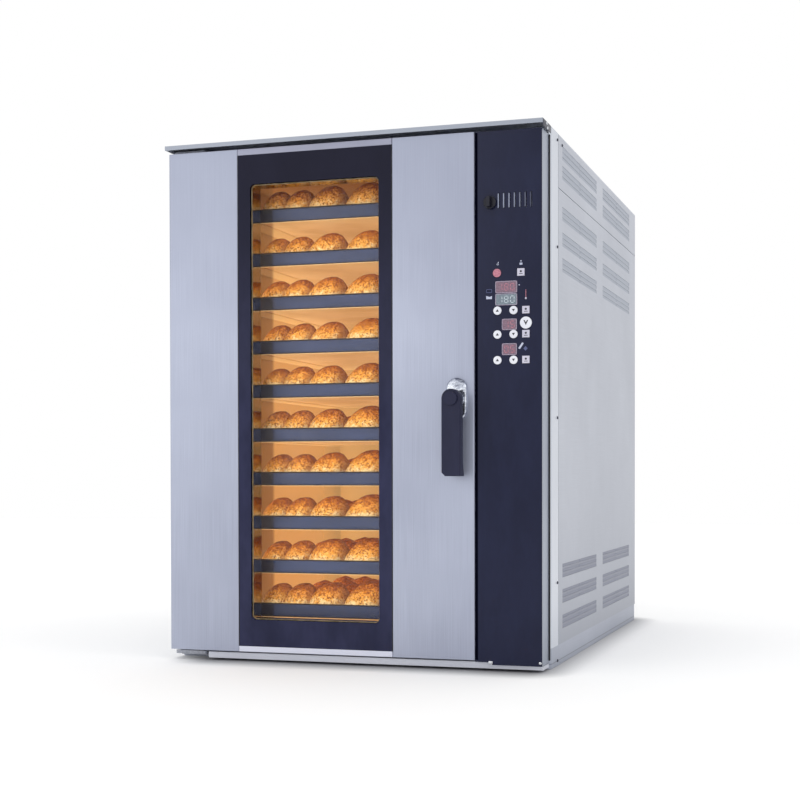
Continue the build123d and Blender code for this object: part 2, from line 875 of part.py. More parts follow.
with BuildPart() as control_housing:
    block((column_left_x, column_right_x), (housing_front_y, cabinet_front_y), (fascia_bottom, column_top))
    block(
        (column_left_x + sheet, column_right_x - sheet),
        (housing_front_y, cabinet_front_y),
        (fascia_bottom + sheet, column_top - sheet),
        mode=Mode.SUBTRACT,
    )
    block((column_left_x, column_left_x + sheet), latch_slot_y, latch_slot_z, mode=Mode.SUBTRACT)
    block(
        (column_left_x, notch_right_x),
        (housing_front_y, cabinet_front_y),
        (fascia_bottom, notch_top),
        mode=Mode.SUBTRACT,
    )
finish(control_housing, "control_housing")


# Fascia: the dark front of the column, cut for the grille, displays, keys and knob
display_height = 25.0
display_rim = 0.8
clock_height = 24.0
wide_display = 48.5
short_display = 33.0
wide_display_shift = 19.5
short_display_shift = 26.5
temperature_drop = 31.0
set_drop = 58.0
clock_drop = 112.5
steam_drop = 166.5
wide_display_x = key_left_x + wide_display_shift
short_display_x = key_left_x + short_display_shift
displays = (
    ((wide_display_x, power_z - temperature_drop), (wide_display, display_height + display_rim)),
    ((wide_display_x, power_z - set_drop), (wide_display, display_height)),
    ((short_display_x, power_z - clock_drop), (short_display, clock_height)),
    ((short_display_x, power_z - steam_drop), (short_display, display_height)),
)
round_keys = [(x, z) for z in key_rows for x in (key_left_x, key_mid_x)] + [(power_x, power_z)]
square_keys = [(light_x, power_z)] + [(key_right_x, z) for z in key_rows]

with BuildPart() as control_fascia:
    with BuildSketch(facing(housing_front_y)):
        with Locations((column_mid_x, (fascia_bottom + column_top) / 2)):
            Rectangle(column_right_x - column_left_x, column_top - fascia_bottom)
        with Locations(((column_left_x + notch_right_x) / 2, (fascia_bottom + notch_top) / 2)):
            Rectangle(notch_right_x - column_left_x, notch_top - fascia_bottom, mode=Mode.SUBTRACT)
        with Locations((grille_x, grille_z)):
            with GridLocations(grille_pitch, 0, grille_slots, 1):
                Rectangle(grille_slot_width, grille_slot_height, mode=Mode.SUBTRACT)
        for centre, size in displays:
            with Locations(centre):
                Rectangle(*size, mode=Mode.SUBTRACT)
        with Locations(round_keys):
            Circle(key_radius + running_gap, mode=Mode.SUBTRACT)
        with Locations(square_keys):
            Rectangle(square_key + 2 * running_gap, square_key + 2 * running_gap, mode=Mode.SUBTRACT)
        with Locations((key_right_x, timer_z)):
            Circle(big_key_radius + running_gap, mode=Mode.SUBTRACT)
        with Locations((knob_x, knob_z)):
            Circle(knob_spindle_radius + pin_clearance, mode=Mode.SUBTRACT)
    extrude(amount=fascia_thickness)
finish(control_fascia, "control_fascia")

with BuildPart() as display_windows:
    for (x, z), (display_width, display_height) in displays:
        block(
            (x - display_width / 2, x + display_width / 2),
            (door_face_y, housing_front_y),
            (z - display_height / 2, z + display_height / 2),
        )
finish(display_windows, "display_windows")


# Control board behind the keys, on four stand-offs from the fascia
board_margin = 14.0
board_low = key_rows[-1] - 2 * board_margin
board_high = power_z + 2 * board_margin
standoff_width = 6.0

with BuildPart() as control_board:
    block(
        (column_left_x + board_margin, column_right_x - board_margin),
        (board_y, board_y + board_thickness),
        (board_low, board_high),
    )
    with BuildSketch(facing(housing_front_y)):
        with Locations((column_mid_x, (board_low + board_high) / 2)):
            with GridLocations(
                column_right_x - column_left_x - 3 * board_margin,
                board_high - board_low - board_margin,
                2,
                2,
            ):
                Rectangle(standoff_width, standoff_width)
    extrude(amount=housing_front_y - board_y)
finish(control_board, "control_board")


# Keys: a cap through the fascia and a square flange behind it that stops the cap
flange_front_y = housing_front_y + running_gap
flange_back_y = flange_front_y + key_flange
key_front_y = door_face_y - key_proud
flange_margin = 1.2


def round_key(x, z, radius):
    with BuildPart() as key:
        with BuildSketch(facing(flange_back_y)):
            with Locations((x, z)):
                Rectangle(2 * (radius + flange_margin), 2 * (radius + flange_margin))
        extrude(amount=key_flange)
        with BuildSketch(facing(flange_front_y)):
            with Locations((x, z)):
                Circle(radius)
        extrude(amount=flange_front_y - key_front_y)
    return key


def block_key(x, z):
    with BuildPart() as key:
        with BuildSketch(facing(flange_back_y)):
            with Locations((x, z)):
                Rectangle(square_key + 2 * flange_margin, square_key + 2 * flange_margin)
        extrude(amount=key_flange)
        with BuildSketch(facing(flange_front_y)):
            with Locations((x, z)):
                Rectangle(square_key, square_key)
        extrude(amount=flange_front_y - key_front_y)
    return key


arrow_names = [f"key_{pair}_{way}" for pair in ("temperature", "time", "steam") for way in ("down", "up")]
for name, (x, z) in zip(arrow_names + ["key_power"], round_keys):
    finish(round_key(x, z, key_radius), name)
for name, (x, z) in zip(("key_light", "key_set", "key_clock", "key_steam"), square_keys):
    finish(block_key(x, z), name)
finish(round_key(key_right_x, timer_z, big_key_radius), "key_start")


# Damper knob with a grip bar, on a spindle through the fascia
knob_gap = 0.4
knob_bar_width = 7.0
knob_bar_length = 22.0
knob_disc = 9.0
knob_edge = 1.5
knob_spindle_length = 13.0
knob_back_y = door_face_y - knob_gap

with BuildPart() as damper_knob:
    with BuildSketch(facing(knob_back_y)):
        with Locations((knob_x, knob_z)):
            Circle(knob_radius)
    extrude(amount=knob_disc)
    chamfer(damper_knob.faces().sort_by(Axis.Y)[0].edges(), length=knob_edge)
    with BuildSketch(facing(knob_back_y - knob_disc)):
        with Locations((knob_x, knob_z)):
            Rectangle(knob_bar_width, knob_bar_length)
    extrude(amount=knob_length - knob_disc)
    with BuildSketch(facing(knob_back_y)):
        with Locations((knob_x, knob_z)):
            Circle(knob_spindle_radius)
    extrude(amount=-knob_spindle_length)
finish(damper_knob, "damper_knob")
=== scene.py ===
"""Bakery convection oven: finishes, small parts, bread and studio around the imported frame."""
import bmesh
import bpy
import math
import random
from mathutils import Matrix, Vector


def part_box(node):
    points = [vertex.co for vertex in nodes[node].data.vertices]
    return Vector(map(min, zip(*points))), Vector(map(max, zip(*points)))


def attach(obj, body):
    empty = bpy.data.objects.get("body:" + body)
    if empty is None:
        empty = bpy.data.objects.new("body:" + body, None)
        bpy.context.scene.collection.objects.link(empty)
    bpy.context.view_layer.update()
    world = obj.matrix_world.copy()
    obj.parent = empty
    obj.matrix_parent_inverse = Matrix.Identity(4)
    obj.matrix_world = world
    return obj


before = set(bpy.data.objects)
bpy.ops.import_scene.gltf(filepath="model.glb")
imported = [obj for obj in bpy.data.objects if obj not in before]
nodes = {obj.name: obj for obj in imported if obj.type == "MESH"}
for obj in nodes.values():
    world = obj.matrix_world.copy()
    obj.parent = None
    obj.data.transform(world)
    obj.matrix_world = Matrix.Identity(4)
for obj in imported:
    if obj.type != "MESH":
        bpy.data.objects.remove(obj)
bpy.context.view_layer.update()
MM = 0.001


def box(name):
    """Low and high values of a node on each axis, in millimetres."""
    return [(low / MM, high / MM) for low, high in zip(*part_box(name))]


def middle(name):
    return [(low + high) / 2 for low, high in box(name)]


# Places on the oven, in millimetres, read from the frame
SIDE_X = box("roof_panel")[0][1]
TOP_Z = box("roof_panel")[2][1]
CANOPY_Y, REAR_Y = box("roof_panel")[1]
DOOR_Y = box("door_left_stile")[1][0]
CABINET_Y = box("base_frame")[1][0]
TRAYS = [box(f"tray_{number:02d}") for number in range(1, 11)]
TRAY_X, TRAY_Y = TRAYS[0][0], TRAYS[0][1]
GLASS = box("door_outer_glass")
PANE = box("door_inner_glass")
COLUMN = box("control_housing")
PANEL = box("side_panel_right")
STRIP = box("side_strip_right")
LINER = box("cavity_liner")
GRILLE_X = COLUMN[0][0] + 88.5
WINDOW_CORNER = 11.0


# Shader maths

class Value:
    """A shader socket. Python's operators on it add Math nodes."""

    def __init__(self, finish, socket):
        self.finish = finish
        self.socket = socket

    def maths(self, operation, *terms):
        return self.finish.node("Math", {"operation": operation}, terms)

    def __add__(self, other):
        return self.maths("ADD", self, other)

    def __sub__(self, other):
        return self.maths("SUBTRACT", self, other)

    def __mul__(self, other):
        return self.maths("MULTIPLY", self, other)

    def __pow__(self, other):
        return self.maths("POWER", self, other)

    def __rsub__(self, other):
        return self.maths("SUBTRACT", other, self)

    __radd__ = __add__
    __rmul__ = __mul__

    def far_from(self, centre):
        return self.maths("ABSOLUTE", self - centre)

    def higher_of(self, other):
        return self.maths("MAXIMUM", self, other)

    def rise(self, low, high):
        """0 below low, 1 above high and smooth between them."""
        settings = {"interpolation_type": "SMOOTHSTEP"}
        return self.finish.node("MapRange", settings, [self, low, high, 0.0, 1.0])

    def within(self, centre, half, soft=0.0005):
        """1 nearer to the centre than half, else 0."""
        return 1 - self.far_from(centre).rise(half - soft, half + soft)


def tone(red, green, blue):
    """A screen colour from 0 to 255 as linear light."""
    parts = [c / 255 for c in (red, green, blue)]
    return tuple(c / 12.92 if c < 0.04045 else ((c + 0.055) / 1.055) ** 2.4 for c in parts)


class Finish:
    """A material under construction, with one Principled shader."""

    def __init__(self, name):
        self.material = bpy.data.materials.new(name)
        self.material.use_nodes = True
        self.tree = self.material.node_tree
        self.tree.nodes.clear()
        self.shader = self.tree.nodes.new("ShaderNodeBsdfPrincipled")
        output = self.tree.nodes.new("ShaderNodeOutputMaterial")
        self.tree.links.new(self.shader.outputs[0], output.inputs[0])

    def feed(self, socket, value):
        if isinstance(value, Value):
            self.tree.links.new(value.socket, socket)
        elif isinstance(value, tuple) and len(value) == 3 and len(socket.default_value) == 4:
            socket.default_value = (*value, 1.0)
        else:
            socket.default_value = value

    def node(self, kind, settings=None, values=(), output=0):
        made = self.tree.nodes.new("ShaderNode" + kind)
        for key, value in (settings or {}).items():
            if key == "stops":
                self.set_stops(made.color_ramp, value)
            else:
                setattr(made, key, value)
        for key, value in values.items() if isinstance(values, dict) else enumerate(values):
            self.feed(made.inputs[key], value)
        return Value(self, made.outputs[output])

    @staticmethod
    def set_stops(ramp, stops):
        while len(ramp.elements) < len(stops):
            ramp.elements.new(0.5)
        for element, (position, colour) in zip(ramp.elements, stops):
            element.position = position
            element.color = (*colour, 1.0)

    def place(self):
        return self.node("TexCoord", output=3)

    def axes(self, vector=None):
        split = self.node("SeparateXYZ", values=[vector or self.place()])
        return [Value(self, socket) for socket in split.socket.node.outputs]

    def facing(self):
        """The surface's own direction on each axis."""
        return self.axes(self.node("NewGeometry", output=1))

    def noise(self, stretch, detail=2.0, roughness=0.5):
        """Noise on Object coordinates; stretch is the cells in a metre, on all axes or on each."""
        stretch = stretch if isinstance(stretch, tuple) else (stretch,) * 3
        spot = self.node("Mapping", values={"Vector": self.place(), "Scale": stretch})
        values = {"Vector": spot, "Scale": 1.0, "Detail": detail, "Roughness": roughness}
        return self.node("TexNoise", values=values)

    def mix(self, first, second, factor):
        values = {0: factor, 6: first, 7: second}
        return self.node("Mix", {"data_type": "RGBA"}, values, 2)

    def ramp(self, value, stops):
        return self.node("ValToRGB", {"stops": stops}, [value])

    def attribute(self, name):
        return self.node("Attribute", {"attribute_name": name}, output=2)

    def bump(self, height, strength, distance):
        values = {"Strength": strength, "Distance": distance, "Height": height}
        return self.node("Bump", values=values)

    def surface(self, **sockets):
        for name, value in sockets.items():
            self.feed(self.shader.inputs[name.replace("_", " ")], value)
        return self.material


# Finishes

def brushed(name, dark, light, grain, metal=0.55, rough=0.36, relief=0.12, extra=None):
    """Brushed sheet. grain is the stretch of the brushing, long on the axis with few cells.

    extra takes the finish and its colour, and returns the colour with anything more on it.
    """
    steel = Finish(name)
    lines = steel.noise(grain, 3.0, 0.65)
    cloud = steel.noise((3.0, 3.0, 2.2), 3.0, 0.6)
    smudge = steel.noise((26.0, 26.0, 17.0), 4.0, 0.7)
    mask = (lines - 0.5) * 0.55 + (cloud - 0.5) * 0.5 + 0.5
    colour = steel.mix(dark, light, mask.rise(0.2, 0.8))
    return steel.surface(
        Base_Color=extra(steel, colour) if extra else colour,
        Metallic=metal,
        Roughness=rough + (lines - 0.5) * 0.16 + (smudge - 0.5) * 0.05,
        Normal=steel.bump(lines, relief, 0.0002),
    )


def plain_metal(name, dark, light, metal, rough, spangle=60.0, relief=0.05):
    """Rolled or coated metal with a soft mottle."""
    coat = Finish(name)
    mottle = coat.noise(spangle, 4.0, 0.6)
    broad = coat.noise(4.0, 2.0, 0.5)
    return coat.surface(
        Base_Color=coat.mix(dark, light, (mottle * 0.6 + broad * 0.4).rise(0.3, 0.7)),
        Metallic=metal,
        Roughness=rough + (mottle - 0.5) * 0.12,
        Normal=coat.bump(mottle, relief, 0.0003),
    )


def moulded(name, dark, light, rough, grain=900.0, relief=0.06, specular=0.5):
    """Moulded plastic or film with a fine skin and faint handling marks."""
    skin = Finish(name)
    fine = skin.noise(grain, 2.0, 0.5)
    wipe = skin.noise((14.0, 14.0, 5.0), 4.0, 0.7)
    return skin.surface(
        Base_Color=skin.mix(dark, light, wipe.rise(0.25, 0.8)),
        Roughness=rough + (wipe - 0.5) * 0.14 + (fine - 0.5) * 0.05,
        Normal=skin.bump(fine, relief, 0.0002),
        Specular_IOR_Level=specular,
    )


def lit(name, dark, light, strength, grain=300.0):
    """A surface that glows, uneven as a diffuser is; on the window seal and on the pale strips
    under the tray fronts the glow is painted light.
    """
    glow = Finish(name)
    grainy = glow.noise(grain, 2.0, 0.5)
    colour = glow.mix(dark, light, grainy.rise(0.3, 0.7))
    return glow.surface(
        Base_Color=colour, Emission_Color=colour, Emission_Strength=strength, Roughness=0.35
    )


# Shades of the steel seen in the vent slots, low down and high up; the change from one to the other
# is painted shade
SLOT_LOW, SLOT_HIGH = tone(124, 128, 144), tone(156, 162, 174)
# Folds of the base pan above the floor and half the width of their painted shade lines, in metres
UPPER_FOLD, LOWER_FOLD, FOLD_HALF = 0.048, 0.011, 0.001
# The edge of the painted shadow in the chamber: its lean from the tray fronts back, and where it
# fades
DIM_LEAN, DIM_FADE = 0.42, (-0.238, -0.228)
# The painted shadow on the floor round the cabinet: its middle and fade in metres, and its insets
# in millimetres
SHADOW_X, SHADOW_FADE, SHADOW_SIDE_INSET, SHADOW_END_INSET = 0.04, 0.13, 80.0, 20.0


def canopy_shade_top(steel, colour):
    """Painted shade: steel that is a little darker near its top, under the canopy."""
    z = steel.axes()[2]
    return steel.mix(colour, tone(138, 143, 161), z.rise(0.75, 1.15) * 0.5)


def bright_foot(steel, colour):
    """Painted light: the lower rail of the door is lighter, as it catches more light than the upper
    one.
    """
    return steel.mix(tone(214, 217, 232), colour, steel.axes()[2].rise(0.3, 0.9))


def mesh_shade(steel, colour):
    """The perforated sheet behind the slots, with painted shade that leaves it lighter high up."""
    return steel.mix(colour, SLOT_HIGH, steel.axes()[2].rise(0.2, 1.0))


def fold_shade_lines(steel, colour):
    """Painted shade: dark lines where the pan of the base is folded."""
    z = steel.axes()[2]
    folds = z.within(UPPER_FOLD, FOLD_HALF) + z.within(LOWER_FOLD, FOLD_HALF)
    return steel.mix(colour, tone(84, 88, 100), folds * 0.6)


def dark_lip(steel, colour):
    """Painted shade: the canopy's turned-down lip is darker than the sheet behind it."""
    behind = steel.axes()[1].rise((CANOPY_Y + 2.0) * MM, (CANOPY_Y + 6.0) * MM)
    return steel.mix(tone(150, 156, 168), colour, behind)


# Vent patches on the right side, in millimetres
VENT_LONG, VENT_TALL, VENT_FRONT, VENT_GAP = 430.0, 31.0, 44.5, 92.0
VENT_FRONTS = (VENT_FRONT, VENT_FRONT + VENT_LONG + VENT_GAP)
STRIP_VENT_DROPS = (32.0, 76.5)
SEAM_VENT_DROPS = (50.5, 109.0, 167.5)
BASE_VENT_RISES = (48.5, 107.0, 165.5)
VENT_Y = [PANEL[1][0] + front + VENT_LONG / 2 for front in VENT_FRONTS]
VENT_Z = (
    [STRIP[2][1] - drop for drop in STRIP_VENT_DROPS]
    + [PANEL[2][1] - drop for drop in SEAM_VENT_DROPS]
    + [PANEL[2][0] + rise for rise in BASE_VENT_RISES]
)


def side_marks(steel, colour):
    """Painted shade low down, a dark seam at the corner post, and darker steel over each vent
    patch, which painted shade leaves lighter high up.
    """
    _, y, z = steel.axes()
    # Painted shade: the lower part of the panel is darker
    colour = steel.mix(tone(132, 136, 148), colour, z.rise(-0.3, 0.55))
    colour = steel.mix(colour, tone(112, 116, 128), y.within(PANEL[1][0] * MM, 0.0016) * 0.7)
    across = sum(y.within(place * MM, VENT_LONG / 2 * MM, 0.001) for place in VENT_Y)
    up = sum(z.within(place * MM, VENT_TALL / 2 * MM, 0.001) for place in VENT_Z)
    # Painted shade: the vent patches are lighter high up
    shade = steel.mix(SLOT_LOW, SLOT_HIGH, z.rise(0.2, 1.0))
    return steel.mix(colour, shade, across * up)


def hinge_side(finish):
    """1 in the painted shadow of the chamber, the part that the door's left edge keeps dim, else 0.
    """
    x, y, _ = finish.axes()
    return 1 - (x + (y - TRAY_Y[0] * MM) * DIM_LEAN).rise(*DIM_FADE)


def tray_finish():
    """Slate non-stick coat outside; painted warm lamplight and a painted glow on the underside and
    the inner floor, and painted shadow near the hinge side.
    """
    coat = Finish("tray_coat")
    mottle = coat.noise(240.0, 4.0, 0.6)
    broad = coat.noise((6.0, 6.0, 30.0), 3.0, 0.6)
    level = coat.facing()[2].far_from(0.0).rise(0.5, 0.8)
    grain = (mottle * 0.4 + broad * 0.6).rise(0.3, 0.7)
    slate = coat.mix(tone(38, 57, 102), tone(54, 75, 128), grain)
    shaded = hinge_side(coat)
    # Painted shadow on the slate near the hinge side
    slate_in_painted_shadow = coat.mix(slate, tone(14, 26, 62), shaded)
    # Painted warm lamplight on the underside and the inner floor, with painted shadow near the
    # hinge side
    painted_lamplight = coat.mix(tone(206, 164, 102), tone(226, 188, 128), broad.rise(0.3, 0.7))
    painted_lamplight = coat.mix(painted_lamplight, tone(160, 112, 66), shaded)
    return coat.surface(
        Base_Color=coat.mix(slate_in_painted_shadow, painted_lamplight, level),
        Metallic=0.1,
        Roughness=0.5 + (mottle - 0.5) * 0.14,
        Normal=coat.bump(mottle, 0.1, 0.0003),
        # Painted glow on the underside and the inner floor
        Emission_Color=coat.mix((0.0, 0.0, 0.0), painted_lamplight, level),
        Emission_Strength=0.5,
    )


def chamber_sheet():
    """Stainless sheet tinted by heat, with painted warm lamplight and a painted glow, browner high
    up and in painted shadow near the mouth.
    """
    sheet = Finish("chamber_sheet")
    bake = sheet.noise((5.0, 5.0, 4.0), 4.0, 0.6)
    fine = sheet.noise((400.0, 400.0, 9.0), 2.0, 0.5)
    z = sheet.axes()[2]
    stain = (bake * 0.5 + z.rise(1.0, 1.09) * 0.7).rise(0.3, 1.0)
    colour = sheet.mix(tone(220, 184, 120), tone(164, 108, 52), stain)
    # Painted shadow near the mouth, where the door's left edge keeps the chamber dim
    colour = sheet.mix(colour, tone(128, 88, 46), hinge_side(sheet) * 0.8)
    return sheet.surface(
        Base_Color=colour,
        Metallic=0.1,
        Roughness=0.5 + (bake - 0.5) * 0.2,
        Normal=sheet.bump(fine, 0.06, 0.0003),
        # Painted glow, as if lit by the lamps
        Emission_Color=colour,
        Emission_Strength=0.32,
    )


def mirror_steel():
    """Polished sheet that lines the door, with faint upright polishing marks."""
    sheet = Finish("door_lining")
    lines = sheet.noise((700.0, 700.0, 6.0), 3.0, 0.6)
    return sheet.surface(
        Base_Color=sheet.mix(tone(140, 134, 130), tone(172, 166, 160), lines),
        Metallic=1.0,
        Roughness=0.08 + (lines - 0.5) * 0.08,
        Normal=sheet.bump(lines, 0.03, 0.0002),
    )


def window_border(name, across, up, corner):
    """Door glass with a dark printed border round a clear window, the border in painted shade
    towards its top; sizes in millimetres.
    """
    pane = Finish(name)
    x, _, z = pane.axes()
    half_x, half_z = (across[1] - across[0]) / 2, (up[1] - up[0]) / 2
    away_x = (x.far_from(sum(across) / 2 * MM) - (half_x - corner) * MM).higher_of(0.0)
    away_z = (z.far_from(sum(up) / 2 * MM) - (half_z - corner) * MM).higher_of(0.0)
    reach = (away_x * away_x + away_z * away_z) ** 0.5
    print_mask = reach.rise((corner - 0.6) * MM, (corner + 0.6) * MM)
    wipe = pane.noise((9.0, 9.0, 4.0), 4.0, 0.7)
    lower = pane.mix(tone(36, 38, 62), tone(50, 52, 80), wipe.rise(0.3, 0.75))
    # Painted shade: the border is darker towards its top
    shade = pane.mix(lower, tone(10, 9, 30), z.rise(0.55, 1.12) * 0.85)
    return pane.surface(
        Base_Color=shade,
        Alpha=0.04 + print_mask * 0.96,
        Roughness=0.12 + (wipe - 0.5) * 0.08,
        Normal=pane.bump(wipe, 0.02, 0.0004),
        Specular_IOR_Level=0.12,
    )


def clear_pane():
    pane = Finish("inner_pane")
    wipe = pane.noise((9.0, 9.0, 5.0), 3.0, 0.6)
    return pane.surface(
        Base_Color=tone(236, 224, 200), Alpha=0.03 + wipe.rise(0.5, 0.9) * 0.03, Roughness=0.08
    )


def crust():
    """Bread crust: floury at the foot, golden on the flanks and browner near the crest, with
    painted shade on the right flank.
    """
    bread = Finish("bread_crust")
    rise, seam, flank = (bread.attribute(name) for name in ("rise", "seam", "flank"))
    blister = bread.noise((90.0, 60.0, 90.0), 4.0, 0.7)
    speckle = bread.noise(230.0, 3.0, 0.7)
    level = rise + (blister - 0.5) * 0.9
    colour = bread.ramp(
        level,
        [
            (0.34, tone(252, 226, 172)),
            (0.48, tone(240, 180, 88)),
            (0.68, tone(226, 150, 52)),
            (0.88, tone(186, 104, 28)),
            (1.00, tone(118, 58, 14)),
        ],
    )
    # Painted shade on the right flank
    shaded_right_flank = bread.mix(colour, tone(112, 76, 60), flank.rise(0.62, 0.95) * 0.75)
    spots = (speckle * 0.85 + level * 0.15).rise(0.48, 0.6) * 0.9
    flour = (seam + (speckle - 0.5) * 0.9).rise(0.5, 0.8)
    spotted = bread.mix(shaded_right_flank, tone(122, 56, 14), spots)
    floured = bread.mix(spotted, tone(250, 216, 160), flour)
    return bread.surface(
        Base_Color=floured,
        Roughness=0.6 + (speckle - 0.5) * 0.3,
        Normal=bread.bump(blister * 0.7 + speckle * 0.3, 0.5, 0.0016),
        Specular_IOR_Level=0.12,
    )


def chrome_plate():
    """Bright chrome with painted reflections: soft grey clouds and darker hollows."""
    plate = Finish("bright_chrome")
    cloud = plate.noise((34.0, 34.0, 52.0), 3.0, 0.7)
    fine = plate.noise(300.0, 2.0, 0.5)
    shades = [(0.36, tone(96, 100, 116)), (0.48, tone(172, 177, 190)), (0.60, tone(224, 228, 236))]
    return plate.surface(
        Base_Color=plate.ramp(cloud, shades),
        Metallic=0.9,
        Roughness=0.2 + (fine - 0.5) * 0.1,
        Normal=plate.bump(cloud, 0.35, 0.004),
    )


def louvre_finish():
    """Pale moulded louvres with painted shade that leaves them dimmer towards the right of the
    grille.
    """
    louvre = Finish("grille_louvres")
    x = louvre.axes()[0]
    fine = louvre.noise((500.0, 500.0, 120.0), 2.0, 0.5)
    bright = louvre.mix(tone(126, 134, 156), tone(150, 156, 178), fine)
    # Painted shade towards the right of the grille
    right = x.rise(GRILLE_X * MM - 0.03, GRILLE_X * MM + 0.05)
    return louvre.surface(
        Base_Color=louvre.mix(bright, tone(44, 48, 72), right),
        Roughness=0.45,
        Normal=louvre.bump(fine, 0.1, 0.0002),
    )


def gasket_rubber():
    rubber = Finish("gasket_rubber")
    fine = rubber.noise((700.0, 700.0, 90.0), 3.0, 0.6)
    dust = rubber.noise(40.0, 3.0, 0.7)
    return rubber.surface(
        Base_Color=rubber.mix(tone(20, 20, 26), tone(44, 44, 52), dust.rise(0.4, 0.8)),
        Roughness=0.62 + (dust - 0.5) * 0.2,
        Normal=rubber.bump(fine, 0.12, 0.0004),
    )


def wool():
    batt = Finish("mineral_wool")
    fibre = batt.noise((260.0, 60.0, 260.0), 5.0, 0.7)
    return batt.surface(
        Base_Color=batt.mix(tone(150, 132, 88), tone(206, 190, 140), fibre.rise(0.3, 0.7)),
        Roughness=0.95,
        Normal=batt.bump(fibre, 0.6, 0.002),
    )


def floor_paint():
    """White paper with a painted shadow where the cabinet stands."""
    studio = Finish("studio_floor")
    haze = studio.noise(1.5, 2.0, 0.5)
    x, y, _ = studio.axes()
    middle_y, half_y = (DOOR_Y + REAR_Y) / 2, (REAR_Y - DOOR_Y) / 2 - SHADOW_END_INSET
    away_x = (x.far_from(SHADOW_X) - (SIDE_X - SHADOW_SIDE_INSET) * MM).higher_of(0.0)
    away_y = (y.far_from(middle_y * MM) - half_y * MM).higher_of(0.0)
    clear = ((away_x * away_x + away_y * away_y) ** 0.5).rise(0.0, SHADOW_FADE)
    paper = studio.mix((0.9, 0.9, 0.9), (0.93, 0.93, 0.93), haze)
    return studio.surface(
        # Painted shadow round the cabinet; elsewhere the paper is evenly bright
        Base_Color=studio.mix((0.3, 0.3, 0.32), paper, clear),
        Emission_Color=studio.mix((0.0, 0.0, 0.0), (1.0, 1.0, 1.0), clear),
        Emission_Strength=0.13,
        Roughness=0.85,
    )


# Directions of the brushing
UPRIGHT = (900.0, 900.0, 5.0)
ALONG_Y = (900.0, 6.0, 900.0)
ALONG_X = (6.0, 900.0, 900.0)

door_steel = brushed(
    "door_steel", tone(149, 154, 173), tone(179, 185, 203), UPRIGHT, extra=canopy_shade_top
)
rail_steel = brushed(
    "rail_steel", tone(128, 130, 148), tone(160, 162, 180), ALONG_X, extra=bright_foot
)
column_steel = brushed("column_steel", tone(130, 137, 152), tone(154, 162, 177), UPRIGHT)
side_steel = brushed(
    "side_steel", tone(164, 168, 179), tone(188, 192, 202), ALONG_Y, 0.4, 0.42, extra=side_marks
)
plain_side = brushed("plain_side", tone(160, 164, 175), tone(184, 188, 198), ALONG_Y, 0.4, 0.42)
# Painted highlight: the corner posts are lighter than the side panels, where their rounded edges
# catch the light
post_steel_highlight = brushed("post_steel_highlight", tone(182, 187, 197), tone(206, 210, 219), UPRIGHT, 0.45, 0.34)
roof_steel = brushed(
    "roof_steel", tone(172, 177, 188), tone(198, 202, 211), ALONG_X, 0.45, 0.36, extra=dark_lip
)
sill_steel = brushed("sill_steel", tone(202, 205, 217), tone(228, 231, 240), ALONG_X, 0.4, 0.36)
base_steel = brushed(
    "base_steel", tone(148, 153, 167), tone(172, 177, 190), ALONG_Y, 0.4, 0.45, extra=fold_shade_lines
)
zinc = plain_metal("zinc_sheet", tone(148, 153, 161), tone(174, 178, 185), 0.5, 0.45)
hinge_steel = plain_metal("hinge_steel", tone(150, 153, 163), tone(196, 199, 208), 0.5, 0.35, 200.0)
fan_metal = plain_metal("fan_metal", tone(150, 150, 155), tone(190, 190, 194), 0.6, 0.4)
heater_metal = plain_metal("heater_metal", tone(60, 50, 48), tone(92, 78, 72), 0.6, 0.5, 220.0)
motor_paint = plain_metal("motor_paint", tone(48, 54, 66), tone(66, 73, 88), 0.1, 0.4, 300.0)
screen_mesh = brushed(
    "screen_mesh", SLOT_LOW, SLOT_LOW, ALONG_Y, 0.3, 0.5, extra=mesh_shade
)
chamber = chamber_sheet()
tray_coat = tray_finish()
# Coat of the tray rims, also used for the painted shadow strip under each tray front
rim_coat_and_shadow = plain_metal("rim_coat_and_shadow", tone(26, 22, 36), tone(52, 48, 66), 0.2, 0.42, 300.0, 0.08)
chrome = chrome_plate()
screw_steel = plain_metal("screw_steel", tone(180, 184, 190), tone(226, 228, 232), 0.8, 0.24, 400.0)
black_screw = plain_metal("black_screw", tone(40, 42, 54), tone(72, 74, 88), 0.5, 0.4, 400.0)
# Painted shade: dark plastic of the plate at the canopy's end
cap_shade_plastic = moulded("cap_shade_plastic", tone(30, 32, 48), tone(50, 52, 70), 0.4)
fascia_film = moulded("fascia_film", tone(20, 24, 50), tone(27, 32, 60), 0.2, specular=0.2)
# Painted shadow: black strip for the gap between the door and the column
fascia_edge = moulded("fascia_edge", tone(2, 2, 12), tone(8, 8, 22), 0.9, specular=0.0)
grip_plastic = moulded(
    "grip_plastic", tone(27, 29, 52), tone(38, 40, 66), 0.42, 1400.0, 0.15, specular=0.22
)
knob_plastic = moulded("knob_plastic", tone(12, 12, 24), tone(26, 27, 42), 0.35, specular=0.3)
white_key = moulded("white_key", tone(216, 218, 228), tone(236, 238, 244), 0.3)
rose_key = moulded("rose_key", tone(186, 184, 202), tone(208, 206, 220), 0.32)
print_ink = moulded("print_ink", tone(14, 14, 24), tone(26, 26, 38), 0.45)
pale_ink = moulded("pale_ink", tone(170, 176, 200), tone(206, 210, 228), 0.45)
faint_ink = moulded("faint_ink", tone(66, 74, 118), tone(90, 98, 140), 0.45)
board_green = moulded("board_green", tone(16, 74, 44), tone(30, 98, 60), 0.35, 500.0)
red_window = lit("red_window", tone(104, 82, 98), tone(128, 102, 118), 0.12)
teal_window = lit("teal_window", tone(94, 106, 118), tone(116, 128, 138), 0.12)
display_rim = lit("display_rim", tone(150, 140, 160), tone(176, 166, 184), 0.1)
red_digit = lit("red_digit", tone(150, 92, 108), tone(172, 112, 126), 0.2)
